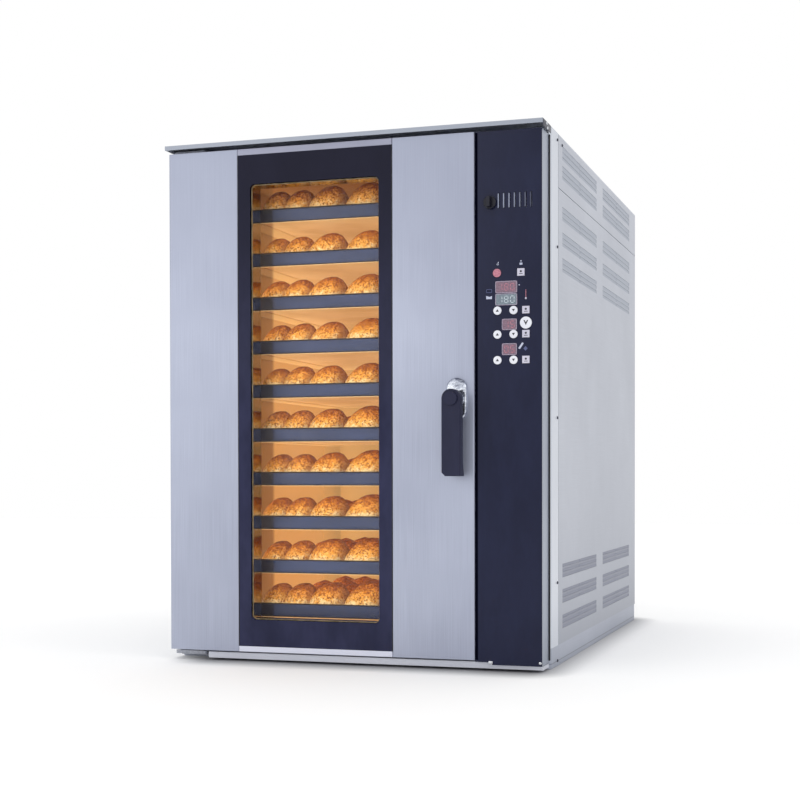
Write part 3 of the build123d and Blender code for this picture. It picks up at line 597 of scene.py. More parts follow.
teal_digit = lit("teal_digit", tone(160, 174, 180), tone(186, 198, 204), 0.25)
red_key = lit("red_key", tone(158, 92, 112), tone(182, 118, 134), 0.12)
dark_red = moulded("dark_red", tone(84, 22, 44), tone(112, 36, 58), 0.4)
lamp_lens = lit("lamp_lens", tone(255, 190, 96), tone(255, 216, 140), 3.0, 90.0)
# Painted light: the window seal glows faintly though it is no lamp
gold_seal_glow = lit("gold_seal_glow", tone(104, 90, 62), tone(146, 128, 94), 0.1, 60.0)
# Painted light: the pale glowing strip under each tray front
painted_edge_glow = lit("painted_edge_glow", tone(196, 160, 112), tone(222, 190, 144), 0.3, 200.0)
rubber = gasket_rubber()

door_lining = mirror_steel()
mineral_wool = wool()
inner_pane = clear_pane()
door_glass = window_border("door_glass", PANE[0], PANE[2], WINDOW_CORNER)

finish_nodes = (
    (door_steel, "door_left_stile door_right_stile face_frame"), (rail_steel, "glass_retainers"),
    (sill_steel, "sill_gutter"), (roof_steel, "roof_panel"),
    (side_steel, "side_strip_right side_panel_right"), (plain_side, "side_panel_left"),
    (post_steel_highlight, "corner_post_left corner_post_right"), (column_steel, "control_housing"),
    (base_steel, "base_frame"), (zinc, "rear_panel"),
    (hinge_steel, "hinge_lower hinge_upper latch_keeper"),
    (chamber, "cavity_liner fan_baffle rack_left rack_right"), (door_lining, "door_inner_frame"),
    (mineral_wool, "wool_jacket"), (lamp_lens, "cavity_lamps"), (motor_paint, "fan_motors"),
    (heater_metal, "heating_elements"), (fan_metal, "fan_wheel_lower fan_wheel_upper"),
    (board_green, "control_board"), (fascia_film, "control_fascia"),
    (inner_pane, "door_inner_glass"), (rubber, "door_gasket"),
    (chrome, "handle_rosette latch_shaft"), (grip_plastic, "handle_lever"),
    (knob_plastic, "damper_knob"), (red_window, "display_windows"),
    (door_glass, "door_outer_glass"), (red_key, "key_power"),
    (rose_key, "key_light key_set key_clock key_steam"),
)
node_finishes = {name: finish for finish, names in finish_nodes for name in names.split()}
for name in nodes:
    if name.startswith("tray_"):
        node_finishes[name] = tray_coat
    elif name.startswith("key_"):
        node_finishes.setdefault(name, white_key)

for name, node in nodes.items():
    node.data.materials.clear()
    node.data.materials.append(node_finishes[name])


# Mesh helpers

SMOOTH_ANGLE = 35.0


def add_object(name, data):
    """Puts an object with this data in the scene."""
    made = bpy.data.objects.new(name, data)
    bpy.context.scene.collection.objects.link(made)
    return made


class Shape:
    """A mesh under construction; every size is in millimetres in the frame of the oven."""

    def __init__(self):
        self.mesh = bmesh.new()

    def block(self, x, y, z, edge=0.0):
        """Box between two values on each axis, with its edges rounded."""
        made = bmesh.ops.create_cube(self.mesh, size=1.0)["verts"]
        centre = Vector([(a + b) / 2 for a, b in (x, y, z)])
        size = [b - a for a, b in (x, y, z)]
        bmesh.ops.scale(self.mesh, vec=size, verts=made)
        bmesh.ops.translate(self.mesh, vec=centre, verts=made)
        if edge:
            edges = list({e for v in made for e in v.link_edges})
            rounding = {"segments": 2, "affect": "EDGES", "profile": 0.5}
            bmesh.ops.bevel(self.mesh, geom=edges, offset=edge, **rounding)

    def plate(self, outline, front, back):
        """Flat plate with an outline in X and Z, from depth front to depth back."""
        loops = [[self.mesh.verts.new((x, y, z)) for x, z in outline] for y in (front, back)]
        self.mesh.faces.new(loops[0])
        self.mesh.faces.new(loops[1][::-1])
        count = len(outline)
        for i in range(count):
            j = (i + 1) % count
            self.mesh.faces.new((loops[0][i], loops[1][i], loops[1][j], loops[0][j]))

    def lathe(self, profile, centre, axis, steps):
        """Solid of revolution about Y or Z. profile lists (radius, distance along the axis)."""
        rings = []
        for radius, along in profile:
            ring = []
            for i in range(steps if radius else 1):
                turn = 2 * math.pi * i / steps
                a, b = radius * math.cos(turn), radius * math.sin(turn)
                spot = (a, along, b) if axis == "Y" else (a, b, along)
                ring.append(self.mesh.verts.new(Vector(centre) + Vector(spot)))
            rings.append(ring)
        for low, high in zip(rings, rings[1:]):
            skin(self.mesh, low, high, steps)

    def done(self, name, finish, body=None, slot=None):
        """Turns the draft into a piece in metres; without a body it is only a pattern to copy."""
        bmesh.ops.recalc_face_normals(self.mesh, faces=self.mesh.faces)
        bmesh.ops.scale(self.mesh, vec=(MM, MM, MM), verts=self.mesh.verts)
        data = bpy.data.meshes.new(name)
        self.mesh.to_mesh(data)
        self.mesh.free()
        data.shade_smooth()
        data.set_sharp_from_angle(angle=math.radians(SMOOTH_ANGLE))
        data.materials.append(finish)
        piece = add_object(name, data)
        if body:
            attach(piece, body)
        return piece


def skin(mesh, low, high, steps):
    """Faces between two rings, where a ring of one vertex is a pole."""
    for i in range(steps):
        j = (i + 1) % steps
        corners = [low[i % len(low)], low[j % len(low)], high[j % len(high)], high[i % len(high)]]
        face = list(dict.fromkeys(corners))
        if len(face) > 2:
            mesh.faces.new(face)


def disc(x, z, radius, steps):
    turns = [2 * math.pi * i / steps for i in range(steps)]
    return [(x + radius * math.cos(turn), z + radius * math.sin(turn)) for turn in turns]


def rectangle(x, z, wide, tall):
    """Outline of a rectangle with its middle at (x, z)."""
    a, b = wide / 2, tall / 2
    return [(x - a, z - b), (x + a, z - b), (x + a, z + b), (x - a, z + b)]


def rounded_loop(left, right, low, high, corner, steps):
    """Rectangle with round corners as a list of (across, up)."""
    spots = []
    centres = [(right - corner, high - corner), (left + corner, high - corner),
               (left + corner, low + corner), (right - corner, low + corner)]
    for quarter, (x, z) in enumerate(centres):
        for i in range(steps + 1):
            turn = math.pi / 2 * (quarter + i / steps)
            spots.append((x + corner * math.cos(turn), z + corner * math.sin(turn)))
    return spots


# Geometry-node tools

class Graph:
    """A geometry tree under construction. inputs gives each named input its socket type."""

    def __init__(self, name, inputs):
        self.tree = bpy.data.node_groups.new(name, "GeometryNodeTree")
        sides = self.tree.interface.new_socket
        sides("Geometry", in_out="INPUT", socket_type="NodeSocketGeometry")
        for label, kind in inputs.items():
            sides(label, in_out="INPUT", socket_type="NodeSocket" + kind)
        sides("Geometry", in_out="OUTPUT", socket_type="NodeSocketGeometry")
        self.given = self.tree.nodes.new("NodeGroupInput").outputs

    def node(self, kind, settings=None, values=None, output=0):
        """Adds a node and returns one output; values holds sockets to link or plain values."""
        made = self.tree.nodes.new(kind)
        for key, value in (settings or {}).items():
            setattr(made, key, value)
        for key, value in (values or {}).items():
            if isinstance(value, bpy.types.NodeSocket):
                self.tree.links.new(value, made.inputs[key])
            else:
                made.inputs[key].default_value = value
        return made.outputs[output]

    def close(self, geometry):
        """Ends the tree in real geometry with its finish on it."""
        real = self.node("GeometryNodeRealizeInstances", values={0: geometry})
        painted = self.node(
            "GeometryNodeSetMaterial", values={"Geometry": real, "Material": self.given["Finish"]}
        )
        result = self.tree.nodes.new("NodeGroupOutput")
        self.tree.links.new(painted, result.inputs[0])
        return self.tree


def copies_tree():
    """One copy of a pattern on each point, with the point's own turn and size.

    Each copy is also spun about its own Z and scaled by one random draw.
    """
    inputs = {
        "Pattern": "Object", "Turn Spread": "Float", "Size Spread": "Float", "Seed": "Int",
        "Finish": "Material",
    }
    graph = Graph("copies_on_points", inputs)
    given = graph.given
    pattern = graph.node(
        "GeometryNodeObjectInfo", values={"Object": given["Pattern"]}, output="Geometry"
    )
    vector = {"data_type": "FLOAT_VECTOR"}
    turn, size = (
        graph.node("GeometryNodeInputNamedAttribute", vector, {"Name": label})
        for label in ("turn", "size")
    )
    limits = {2: -1.0, 3: 1.0, "Seed": given["Seed"]}
    wobble = graph.node("FunctionNodeRandomValue", {"data_type": "FLOAT"}, limits, 1)
    product = {"operation": "MULTIPLY"}
    spin = graph.node("ShaderNodeMath", product, {0: wobble, 1: given["Turn Spread"]})
    spin = graph.node("ShaderNodeCombineXYZ", values={"Z": spin})
    swell = graph.node(
        "ShaderNodeMath", {"operation": "MULTIPLY_ADD"},
        {0: wobble, 1: given["Size Spread"], 2: 1.0},
    )
    size = graph.node("ShaderNodeVectorMath", {"operation": "SCALE"}, {0: size, "Scale": swell})
    placed = graph.node(
        "GeometryNodeInstanceOnPoints",
        values={"Points": given["Geometry"], "Instance": pattern, "Rotation": turn, "Scale": size},
    )
    spun = graph.node("GeometryNodeRotateInstances", values={"Instances": placed, "Rotation": spin})
    return graph.close(spun)


def bead_tree():
    """A round bead along every edge of the input."""
    graph = Graph("bead_on_edges", {"Radius": "Float", "Sides": "Int", "Finish": "Material"})
    path = graph.node("GeometryNodeMeshToCurve", values={"Mesh": graph.given["Geometry"]})
    ring = graph.node(
        "GeometryNodeCurvePrimitiveCircle",
        values={"Radius": graph.given["Radius"], "Resolution": graph.given["Sides"]},
    )
    tube = graph.node("GeometryNodeCurveToMesh", values={"Curve": path, "Profile Curve": ring})
    return graph.close(tube)


COPIES = copies_tree()
BEAD = bead_tree()


def grow(name, data, tree, settings, body):
    """Runs a geometry tree on a mesh and keeps the result as a plain piece."""
    seed = add_object(name + "_seed", data)
    modifier = seed.modifiers.new("grow", "NODES")
    modifier.node_group = tree
    for item in tree.interface.items_tree:
        if item.item_type == "SOCKET" and item.in_out == "INPUT" and item.name in settings:
            modifier[item.identifier] = settings[item.name]
    bpy.context.view_layer.update()
    graph = bpy.context.evaluated_depsgraph_get()
    made = bpy.data.meshes.new_from_object(seed.evaluated_get(graph), depsgraph=graph)
    made.name = name
    bpy.data.objects.remove(seed)
    if not made.materials:
        made.materials.append(settings["Finish"])
    piece = add_object(name, made)
    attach(piece, body)


def copies(name, pattern, spots, finish, body, turn_spread, size_spread, seed):
    """Copies of a pattern. spots lists (place in millimetres, turn in degrees, size)."""
    data = bpy.data.meshes.new(name)
    data.from_pydata([[c * MM for c in place] for place, _, _ in spots], [], [])
    turns = data.attributes.new("turn", "FLOAT_VECTOR", "POINT")
    sizes = data.attributes.new("size", "FLOAT_VECTOR", "POINT")
    for i, (_, turn, size) in enumerate(spots):
        turns.data[i].vector = [math.radians(a) for a in turn]
        sizes.data[i].vector = size
    settings = {
        "Pattern": pattern, "Turn Spread": math.radians(turn_spread), "Size Spread": size_spread,
        "Seed": seed, "Finish": finish,
    }
    grow(name, data, COPIES, settings, body)


def bead(name, loops, radius, sides, finish, body):
    """Round bead along closed loops of points in millimetres."""
    vertices, edges = [], []
    for loop in loops:
        first = len(vertices)
        vertices += [[c * MM for c in spot] for spot in loop]
        edges += [(first + i, first + (i + 1) % len(loop)) for i in range(len(loop))]
    data = bpy.data.meshes.new(name)
    data.from_pydata(vertices, edges, [])
    settings = {"Radius": radius * MM, "Sides": sides, "Finish": finish}
    grow(name, data, BEAD, settings, body)


# Bread on the trays

ROLL_LONG, ROLL_WIDE, ROLL_TALL, ROLL_LEAN = 50.0, 49.0, 76.0, 0.25
# How blunt a roll's ends and crest are, and where its seam bursts, as shares of its half width
END_BLUNT, GIRTH_POWER, CREST_POWER = 2.6, 0.55, 1.15
SEAM_ACROSS, SEAM_WIDE = 0.34, 0.12
# Parts of a roll's height: the level of its waist, the crest above it, the foot below and the seam
WAIST, CREST, FOOT, BURST = 0.16, 0.80, 0.16, 0.05


def roll_pattern(name, rings, steps):
    """A hand-shaped roll that leans to its right, with a burst seam past the crest.

    Its mesh carries its height as rise, its seam as seam and how far right as flank, from 0 to 1.
    """
    draft = bmesh.new()
    rise = draft.verts.layers.float.new("rise")
    seam = draft.verts.layers.float.new("seam")
    flank = draft.verts.layers.float.new("flank")
    loops = []
    for i in range(rings + 1):
        along = -math.cos(math.pi * i / rings)
        girth = max(0.0, 1 - abs(along) ** END_BLUNT) ** GIRTH_POWER
        loop = []
        for k in range(steps if 0 < i < rings else 1):
            turn = 2 * math.pi * k / steps
            across, up = math.cos(turn), math.sin(turn)
            top = max(up, 0.0) ** CREST_POWER
            burst = math.exp(-((across - SEAM_ACROSS) / SEAM_WIDE) ** 2) * top * (1 - along * along)
            lift = CREST * top + FOOT * min(up, 0.0) + BURST * burst
            height = ROLL_TALL * (WAIST + girth * lift)
            x = ROLL_WIDE * girth * (across + ROLL_LEAN * top)
            vert = draft.verts.new((x, along * ROLL_LONG, height))
            vert[rise] = max(0.0, min(1.0, height / ROLL_TALL))
            vert[seam] = burst
            vert[flank] = (across * girth + 1) / 2
            loop.append(vert)
        loops.append(loop)
    for low, high in zip(loops, loops[1:]):
        skin(draft, low, high, steps)
    bmesh.ops.recalc_face_normals(draft, faces=draft.faces)
    bmesh.ops.scale(draft, vec=(MM, MM, MM), verts=draft.verts)
    mesh = bpy.data.meshes.new(name)
    draft.to_mesh(mesh)
    draft.free()
    mesh.shade_smooth()
    return add_object(name, mesh)


# Each roll of a row: its middle from the tray's left end, half its width and its height
ROLL_ROW = (
    (38.0, 42.0, 73.0), (95.0, 46.0, 75.0), (168.0, 53.0, 78.0),
    (264.0, 56.0, 82.0), (354.0, 38.0, 72.0),
)
ROLL_ROWS, FIRST_ROW, ROW_PITCH, ROLL_SEAT = 4, 57.0, 150.0, 2.5
BACK_SWELL, TOP_TRAY_SWELL = 0.84, 1.1

bread = crust()
dice = random.Random(7)
front_rolls, back_rolls = [], []
for tray in TRAYS:
    shift = dice.uniform(-2.0, 3.0)
    for row in range(ROLL_ROWS):
        for centre, half, tall in ROLL_ROW:
            drift = (0.0, 0.0) if row == 0 else (dice.uniform(-4.0, 4.0), dice.uniform(-8.0, 8.0))
            x = TRAY_X[0] + centre + shift + drift[0]
            y = TRAY_Y[0] + FIRST_ROW + row * ROW_PITCH + drift[1]
            place = (x, y, tray[2][0] + ROLL_SEAT)
            swell = BACK_SWELL if row else 1.0
            swell *= TOP_TRAY_SWELL if tray is TRAYS[-1] else 1.0
            size = (half / ROLL_WIDE, 1.0, swell * tall / ROLL_TALL)
            (front_rolls if row == 0 else back_rolls).append((place, (0.0, 0.0, 0.0), size))
for name, rings, steps, spots in (
    ("front_rolls", 16, 28, front_rolls), ("back_rolls", 8, 12, back_rolls)
):
    pattern = roll_pattern(name + "_pattern", rings, steps)
    copies(name, pattern, spots, bread, "oven", 3.0, 0.02, 3)
    bpy.data.objects.remove(pattern)


# Rolled rims of the trays, and under each front a painted shadow strip and a pale strip of painted
# glow

RIM_RADIUS, RIM_CORNER, RIM_DROP, FRONT_STRIP_INSET = 1.6, 6.0, 1.0, 6.0
rim_loops = []
for tray in TRAYS:
    loop = rounded_loop(*TRAY_X, *TRAY_Y, RIM_CORNER, 3)
    rim_loops.append([(x, y, tray[2][1] - RIM_DROP) for x, y in loop])
bead("tray_rims", rim_loops, RIM_RADIUS, 8, rim_coat_and_shadow, "oven")
# Painted shadow: a dark strip under each tray front; painted light: a pale glowing strip just below
# it
tray_front_shadow, tray_front_glow = Shape(), Shape()
for tray in TRAYS:
    wide = (TRAY_X[0] + FRONT_STRIP_INSET, TRAY_X[1] - FRONT_STRIP_INSET)
    front, low = TRAY_Y[0], tray[2][0]
    tray_front_shadow.block(wide, (front - 1.2, front + 1.0), (low - 2.0, low + 0.6), 0.4)
    tray_front_glow.block(wide, (front - 1.0, front + 0.4), (low - 3.4, low - 2.0), 0.2)
tray_front_shadow.done("tray_feet", rim_coat_and_shadow, "oven", "tray_coating")
tray_front_glow.done("tray_edges", painted_edge_glow, "oven", "tray_coating")


# Door window

SEAL_INSET, SEAL_RADIUS, STRIP_HALF = 1.2, 1.6, 0.9
window = rounded_loop(
    PANE[0][0] + SEAL_INSET, PANE[0][1] - SEAL_INSET,
    PANE[2][0] + SEAL_INSET, PANE[2][1] - SEAL_INSET, WINDOW_CORNER, 6,
)
window_path = [(x, GLASS[1][1] + SEAL_RADIUS, z) for x, z in window]
# The seal's faint glow is painted light
bead("window_seal", [window_path], SEAL_RADIUS, 8, gold_seal_glow, "door")

strips = Shape()
for x in GLASS[0]:
    strips.block((x - STRIP_HALF, x + STRIP_HALF), (DOOR_Y - 0.5, DOOR_Y + 2.0), GLASS[2], 0.3)
strips.done("glass_edge_seals", rubber, "door", "gasket_rubber")


# Screws

def screw_head(name, radius):
    """Pan head with a cross recess, its flat back on Z = 0 and its dome along +Z."""
    head = Shape()
    profile = [
        (0.0, 0.0), (radius, 0.0), (radius, radius * 0.22), (radius * 0.86, radius * 0.5),
        (radius * 0.5, radius * 0.66), (0.0, radius * 0.7),
    ]
    head.lathe(profile, (0, 0, 0), "Z", 16)
    for long, wide in ((0.5, 0.12), (0.12, 0.5)):
        x, y = (-radius * long, radius * long), (-radius * wide, radius * wide)
        head.block(x, y, (radius * 0.62, radius * 0.73))
    return head.done(name, screw_steel)


TO_RIGHT, TO_LEFT, TO_BACK = (0, 90, 0), (0, -90, 0), (-90, 0, 0)
TO_TOP, TO_FRONT = (0, 0, 0), (90, 0, 0)
WHOLE = (1.0, 1.0, 1.0)
SCREW_RADIUS = 3.4
POST_SCREW_Y, POST_SCREW_Z = -461.0, (12.0, 188.0, 560.0, 944.0, 1184.0)
STRIP_SCREW_Y, STRIP_SCREW_Z = -408.0, 1182.5
REAR_SCREW_X, REAR_SCREW_Z = (-425.0, -140.0, 140.0, 425.0), (62.0, 600.0, 1182.0)
ROOF_SCREW_X, ROOF_SCREW_Y = (-435.0, -145.0, 145.0, 435.0), (-500.0, -110.0, 270.0, 640.0)
COLUMN_SCREW_X, COLUMN_SCREW_Z = 441.5, 22.0
CAP_SCREWS = ((-578.0, 1195.0), (-570.0, 1186.5))

side_spots = [((SIDE_X, POST_SCREW_Y, z), TO_RIGHT, WHOLE) for z in POST_SCREW_Z]
side_spots += [((-SIDE_X, POST_SCREW_Y, z), TO_LEFT, WHOLE) for z in POST_SCREW_Z]
side_spots.append(((SIDE_X, STRIP_SCREW_Y, STRIP_SCREW_Z), TO_RIGHT, WHOLE))
skin_spots = [((x, REAR_Y, z), TO_BACK, WHOLE) for x in REAR_SCREW_X for z in REAR_SCREW_Z]
skin_spots += [((x, y, TOP_Z), TO_TOP, WHOLE) for x in ROOF_SCREW_X for y in ROOF_SCREW_Y]
skin_spots.append(((COLUMN_SCREW_X, DOOR_Y, COLUMN_SCREW_Z), TO_FRONT, WHOLE))
screw = screw_head("screw_pattern", SCREW_RADIUS)
copies("post_screws", screw, side_spots, black_screw, "oven", 180.0, 0.0, 5)
copies("skin_screws", screw, skin_spots, screw_steel, "oven", 180.0, 0.0, 6)

# End cap of the canopy, with its two screws; the cap is a dark plate that stands for the shade in
# the canopy's hollow end
CAP_FACE = SIDE_X + 0.8
caps = Shape()
caps.block(
    (SIDE_X - 0.8, CAP_FACE), (CANOPY_Y + 1.0, CABINET_Y - 1.0),
    (COLUMN[2][1] + 1.5, TOP_Z - 0.4), 0.4,
)
caps.done("canopy_cap", cap_shade_plastic, "oven", "knob_plastic")
cap_spots = [((CAP_FACE, y, z), TO_RIGHT, WHOLE) for y, z in CAP_SCREWS]
copies("cap_screws", screw, cap_spots, screw_steel, "oven", 180.0, 0.0, 7)
bpy.data.objects.remove(screw)

# Dark rubber in the groove between the column and the corner post
seam = Shape()
seam.block(
    (COLUMN[0][1], COLUMN[0][1] + 3.2), (CABINET_Y - 3.5, CABINET_Y + 2.0),
    (20.0, COLUMN[2][1] - 1.0), 0.8,
)
seam.done("column_seam", rubber, "oven", "gasket_rubber")


# Vent screens behind the slots

SCREEN_OVERLAP, SCREEN_GAP, SCREEN_SHEET = 6.0, 2.6, 1.2
SLOT_LONG, SLOT_TALL, SLOT_BAR, SLOT_GAP = 212.5, 7.0, 5.0, 0.3
REAR_SCREEN_X, REAR_SCREEN_Y, REAR_SCREEN_Z = 137.0, (-9.0, -4.0), 82.0
screens = Shape()
for middle_y in VENT_Y:
    for heights in (VENT_Z[:2], VENT_Z[2:5], VENT_Z[5:]):
        reach = VENT_TALL / 2 + SCREEN_OVERLAP
        screens.block(
            (SIDE_X - SCREEN_GAP - SCREEN_SHEET, SIDE_X - SCREEN_GAP),
            (middle_y - VENT_LONG / 2 - SCREEN_OVERLAP, middle_y + VENT_LONG / 2 + SCREEN_OVERLAP),
            (min(heights) - reach, max(heights) + reach), 0.3,
        )
    for column in (-1, 1):
        slot_y = middle_y + column * (SLOT_LONG + SLOT_BAR) / 2
        for middle_z in VENT_Z:
            for row in (-1, 0, 1):
                slot_z = middle_z + row * (SLOT_TALL + SLOT_BAR)
                screens.block(
                    (SIDE_X - SCREEN_GAP - SCREEN_SHEET / 2, SIDE_X - 0.5),
                    (slot_y - SLOT_LONG / 2 + SLOT_GAP, slot_y + SLOT_LONG / 2 - SLOT_GAP),
                    (slot_z - SLOT_TALL / 2 + SLOT_GAP, slot_z + SLOT_TALL / 2 - SLOT_GAP),
                )
for fan in ("fan_wheel_lower", "fan_wheel_upper"):
    x, _, z = middle(fan)
    screens.block(
        (x - REAR_SCREEN_X, x + REAR_SCREEN_X), [REAR_Y + y for y in REAR_SCREEN_Y],
        (z - REAR_SCREEN_Z, z + REAR_SCREEN_Z), 1.0,
    )
screens.done("vent_screens", screen_mesh, "oven", "plain_steel")


# Control column: marks on the keys

KEY_TRIANGLE = 3.4


def triangle(size, up):
    """Outline about the middle of a key; up is 1 where it points up and -1 where it points down."""
    return [(-size, -size * 0.7 * up), (size, -size * 0.7 * up), (0.0, size * 0.9 * up)]


def key_mark(key, *outlines):
    """Printed mark on a key's face; each outline is about the middle of the key."""
    x, _, z = middle(key)
    face = box(key)[1][0]
    mark = Shape()
    for outline in outlines:
        mark.plate([(x + a, z + b) for a, b in outline], face - 0.15, face + 0.05)
    mark.done(key + "_mark", print_ink, key + "_body", "key_white")


for pair in ("temperature", "time", "steam"):
    key_mark(f"key_{pair}_down", triangle(KEY_TRIANGLE, 1))
    key_mark(f"key_{pair}_up", triangle(KEY_TRIANGLE, -1))
key_mark("key_start", [(-5.2, 5.5), (0.0, -5.5), (5.2, 5.5), (2.6, 5.5), (0.0, 0.4), (-2.6, 5.5)])
for key in ("key_light", "key_set", "key_clock", "key_steam"):
    key_mark(key, disc(0.0, 1.6, 2.3, 16), rectangle(0.0, -3.6, 8.0, 1.2))


# Control column: displays, measured from the power key and the left keys

POWER_Z = middle("key_power")[2]
LEFT_KEY_X = middle("key_time_down")[0]
WIDE_DISPLAY, SHORT_DISPLAY = (LEFT_KEY_X + 19.5, 48.5), (LEFT_KEY_X + 26.5, 33.0)
DISPLAYS = (
    (*WIDE_DISPLAY, POWER_Z - 31.0, 25.8, "180", "red"),
    (*WIDE_DISPLAY, POWER_Z - 58.0, 25.0, "180", "teal"),
    (*SHORT_DISPLAY, POWER_Z - 112.5, 24.0, "15", "red"),
    (*SHORT_DISPLAY, POWER_Z - 166.5, 25.0, "05", "red"),
)
SEGMENTS = {"0": "abcdef", "1": "bc", "5": "afgcd", "8": "abcdefg"}
DIGIT_WIDE, DIGIT_TALL, DIGIT_PITCH, DIGIT_STROKE = 8.0, 14.0, 13.6, 0.8
PRINT_LIFT, RIM_INSET, DISPLAY_CORNER, DISPLAY_RIM, RING_RADIUS = 0.1, 0.5, 3.5, 0.7, 8.6


def digit(shape, glyph, x, z, face):
    """Seven-segment digit with its middle at (x, z)."""
    w, h, t = DIGIT_WIDE / 2, DIGIT_TALL / 2, DIGIT_STROKE
    places = {
        "a": ((-w, w), (h, h)), "b": ((w, w), (0, h)), "c": ((w, w), (-h, 0)),
        "d": ((-w, w), (-h, -h)), "e": ((-w, -w), (-h, 0)), "f": ((-w, -w), (0, h)),
        "g": ((-w, w), (0, 0)),
    }
    for key in SEGMENTS[glyph]:
        (x0, x1), (z0, z1) = places[key]
        flat = z0 == z1
        start, end, level, side = (x0, x1, z0, t) if flat else (z0, z1, x0, -t)
        outline = [(start + t, level), (start + 2 * t, level + side), (end - 2 * t, level + side),
                   (end - t, level), (end - 2 * t, level - side), (start + 2 * t, level - side)]
        if not flat:
            outline = [(across, along) for along, across in outline]
        shape.plate([(x + a, z + b) for a, b in outline], face - 0.2, face)


digits = {"red": Shape(), "teal": Shape()}
rims = []
for x, wide, z, tall, glyphs, colour in DISPLAYS:
    for i, glyph in enumerate(glyphs):
        digit_x = x + (i - (len(glyphs) - 1) / 2) * DIGIT_PITCH
        digit(digits[colour], glyph, digit_x, z, DOOR_Y - PRINT_LIFT)
    loop = rounded_loop(
        x - wide / 2 + RIM_INSET, x + wide / 2 - RIM_INSET,
        z - tall / 2 + RIM_INSET, z + tall / 2 - RIM_INSET, DISPLAY_CORNER, 4,
    )
    rims.append([(a, DOOR_Y - PRINT_LIFT, b) for a, b in loop])
    if colour == "teal":
        cover = Shape()
        cover.plate(rectangle(x, z, wide - 0.3, tall - 0.3), DOOR_Y - 0.09, DOOR_Y + 1.5)
        cover.done("teal_display", teal_window, "oven", "display_plastic")
digits["red"].done("red_digits", red_digit, "oven", "display_plastic")
digits["teal"].done("teal_digits", teal_digit, "oven", "display_plastic")
bead("display_rims", rims, DISPLAY_RIM, 6, display_rim, "oven")
power_x = middle("key_power")[0]
power_ring = [(x, DOOR_Y - PRINT_LIFT, z) for x, z in disc(power_x, POWER_Z, RING_RADIUS, 28)]
bead("power_ring", [power_ring], DISPLAY_RIM, 6, dark_red, "oven")


# Control column: small symbols printed beside the displays

PRINT_DEPTH = 0.15


def mark_piece(name, finish, outlines):
    """One printed piece on the fascia, from outlines in the frame of the oven."""
    piece = Shape()
    for outline in outlines:
        piece.plate(outline, DOOR_Y - PRINT_DEPTH, DOOR_Y)
    piece.done(name, finish, "oven", "fascia_plastic")


light_x = middle("key_light")[0]
icon_z = POWER_Z + 20.5
loaf_x, loaf_z = LEFT_KEY_X - 19.0, POWER_Z - 52.5
mark_piece("fascia_prints", pale_ink, [
    disc(power_x + 1.2, icon_z - 1.6, 2.2, 12),
    [(power_x - 0.8, icon_z - 2.8), (power_x + 0.4, icon_z - 3.6),
     (power_x + 4.0, icon_z + 3.2), (power_x + 2.6, icon_z + 3.8)],
    disc(light_x, icon_z + 3.6, 1.6, 12),
    rectangle(light_x, icon_z - 2.4, 6.4, 4.6),
    [(loaf_x - 6.5, loaf_z - 3.6), (loaf_x + 6.5, loaf_z - 3.6), (loaf_x + 6.5, loaf_z + 3.2),
     (loaf_x + 1.5, loaf_z + 1.0), (loaf_x - 6.5, loaf_z + 3.6)],
    disc(WIDE_DISPLAY[0] + 29.0, POWER_Z - 27.5, 1.3, 12),
    [(SHORT_DISPLAY[0] + 19.8, POWER_Z - 165.0), (SHORT_DISPLAY[0] + 23.4, POWER_Z - 167.0),
     (SHORT_DISPLAY[0] + 32.0, POWER_Z - 154.6), (SHORT_DISPLAY[0] + 28.6, POWER_Z - 152.4)],
])
steam_x, steam_z = SHORT_DISPLAY[0] + 36.0, POWER_Z - 166.0
mark_piece("faint_prints", faint_ink, [
    [(steam_x - 4.6, steam_z), (steam_x, steam_z - 4.8),
     (steam_x + 4.6, steam_z), (steam_x, steam_z + 5.4)],
    *(rectangle(loaf_x, loaf_z + rise, 13.0, 1.0) for rise in (17.4, 10.6)),
    *(rectangle(loaf_x + side, loaf_z + 14.0, 1.0, 7.0) for side in (-6.0, 6.0)),
])
gauge_x, gauge_z = LEFT_KEY_X + 63.2, POWER_Z - 47.0
mark_piece("gauge_stem", red_digit, [rectangle(gauge_x, gauge_z, 1.3, 18.0)])
lamp = Shape()
dome = [(0.0, 0.0), (2.2, 0.0), (2.0, -0.8), (1.2, -1.4), (0.0, -1.6)]
lamp.lathe(dome, (gauge_x, DOOR_Y, gauge_z - 10.0), "Y", 20)
lamp.done("alarm_lamp", rose_key, "oven", "display_plastic")

# Control column: louvres in the grille, a painted shadow strip in the gap beside the door and the
# clip at its foot
GRILLE_PITCH, GRILLE_DROP, LOUVRE_TALL = 12.0, 152.5, 31.4
grille_z = COLUMN[2][1] - GRILLE_DROP
louvres = Shape()
for i in range(7):
    x = GRILLE_X + (i - 3) * GRILLE_PITCH
    louvres.block(
        (x - 2.3, x + 0.5), (DOOR_Y + 0.4, DOOR_Y + 2.8),
        (grille_z - LOUVRE_TALL / 2, grille_z + LOUVRE_TALL / 2), 0.3,
    )
louvres.done("grille_louvres", louvre_finish(), "oven", "fascia_plastic")
column_z, column_tall = (COLUMN[2][0] + COLUMN[2][1]) / 2, COLUMN[2][1] - COLUMN[2][0]
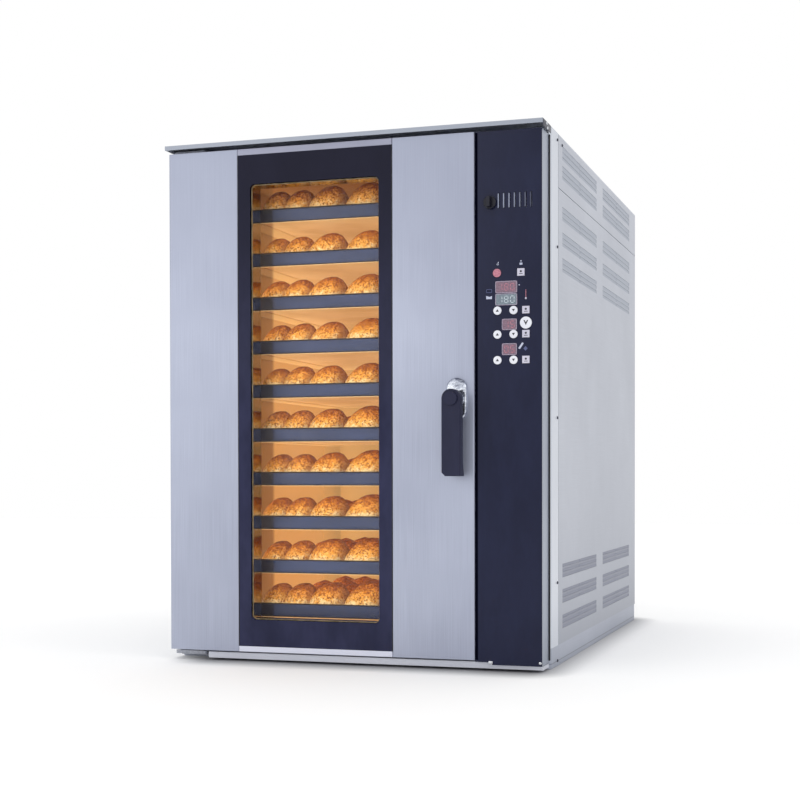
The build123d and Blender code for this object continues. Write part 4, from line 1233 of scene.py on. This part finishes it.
# Painted shadow in the gap beside the door
gap_shadow_outline = rectangle(COLUMN[0][0] + 2.7, column_z + 4.0, 5.0, column_tall - 12.0)
mark_piece("fascia_edge", fascia_edge, [gap_shadow_outline])
CLIP_X, CLIP_Z, CLIP_FACE = (326.0, 335.0), (16.0, 23.0), DOOR_Y - 2.0
clip = Shape()
clip.block(CLIP_X, (CLIP_FACE, DOOR_Y - 0.4), CLIP_Z, 0.6)
button = [(0.0, 0.0), (2.4, 0.0), (2.0, -1.4), (0.0, -1.8)]
clip.lathe(button, (sum(CLIP_X) / 2, CLIP_FACE, sum(CLIP_Z) / 2), "Y", 16)
clip.done("sill_clip", screw_steel, "oven", "bright_chrome")


# Studio

FLOOR_REACH = (-9000.0, 9000.0)
floor = Shape()
floor.block(FLOOR_REACH, FLOOR_REACH, (-60.0, -0.4), 2.0)
floor.done("studio_floor", floor_paint())

world = bpy.data.worlds.new("studio")
bpy.context.scene.world = world
world.use_nodes = True
sky = world.node_tree.nodes["Background"]
sky.inputs["Color"].default_value = (1.0, 1.0, 1.0, 1.0)
sky.inputs["Strength"].default_value = 1.0


def area_light(name, place, target, width, height, power, colour, spread=180.0, seen=True):
    light = bpy.data.lights.new(name, "AREA")
    light.shape = "RECTANGLE"
    light.size, light.size_y = width, height
    light.energy = power
    light.color = colour
    light.spread = math.radians(spread)
    holder = add_object(name, light)
    holder.location = place
    aim = Vector(target) - Vector(place)
    holder.rotation_euler = aim.to_track_quat("-Z", "Y").to_euler()
    holder.visible_camera = False
    holder.visible_glossy = seen


SOFT_WHITE, GLOW = (1.0, 0.99, 0.98), (1.0, 0.85, 0.64)
area_light("soft_front", (-2.6, -5.6, 2.6), (0.0, 0.0, 0.6), 3.4, 3.4, 30.0, SOFT_WHITE)
area_light("soft_side", (4.6, -1.4, 2.8), (0.0, 0.0, 0.7), 2.8, 2.8, 16.0, SOFT_WHITE)
inside_x = (LINER[0][0] + LINER[0][1]) / 2 * MM
inside_z = (LINER[2][0] + LINER[2][1]) / 2 * MM
# Lamplight in the chamber, in metres: one light in its mouth and one by each side wall
MOUTH_Y, WALL_Y, WALL_REACH = -0.533, -0.17, 0.231
area_light(
    "glow_front", (inside_x, MOUTH_Y, inside_z), (inside_x, 0.5, inside_z),
    0.30, 0.98, 1.15, GLOW, 130.0, False,
)
for name, side, power in (("glow_left", -1, 2.8), ("glow_right", 1, 0.5)):
    area_light(
        name, (inside_x + side * WALL_REACH, WALL_Y, inside_z), (inside_x, WALL_Y, inside_z),
        0.56, 1.02, power, GLOW, 170.0, False,
    )

camera_data = bpy.data.cameras.new("camera")
camera_data.sensor_width = 36.0
camera_data.lens = 66.63
camera_data.shift_y = 0.12
camera = add_object("camera", camera_data)
CAMERA_PLACE, CAMERA_TURNS = (1.13693, -3.74783, 0.43379), (17.87, -0.85, -0.10)
yaw, pitch, roll = (math.radians(a) for a in CAMERA_TURNS)
level = math.cos(pitch)
ahead = Vector((-math.sin(yaw) * level, math.cos(yaw) * level, math.sin(pitch)))
right = Vector((math.cos(yaw), math.sin(yaw), 0.0))
up = right.cross(ahead)
across = right * math.cos(roll) + up * math.sin(roll)
above = up * math.cos(roll) - right * math.sin(roll)
turn = Matrix((across, above, -ahead)).transposed().to_4x4()
camera.matrix_world = Matrix.Translation(CAMERA_PLACE) @ turn
bpy.context.scene.camera = camera
bpy.context.scene.view_settings.view_transform = "Standard"
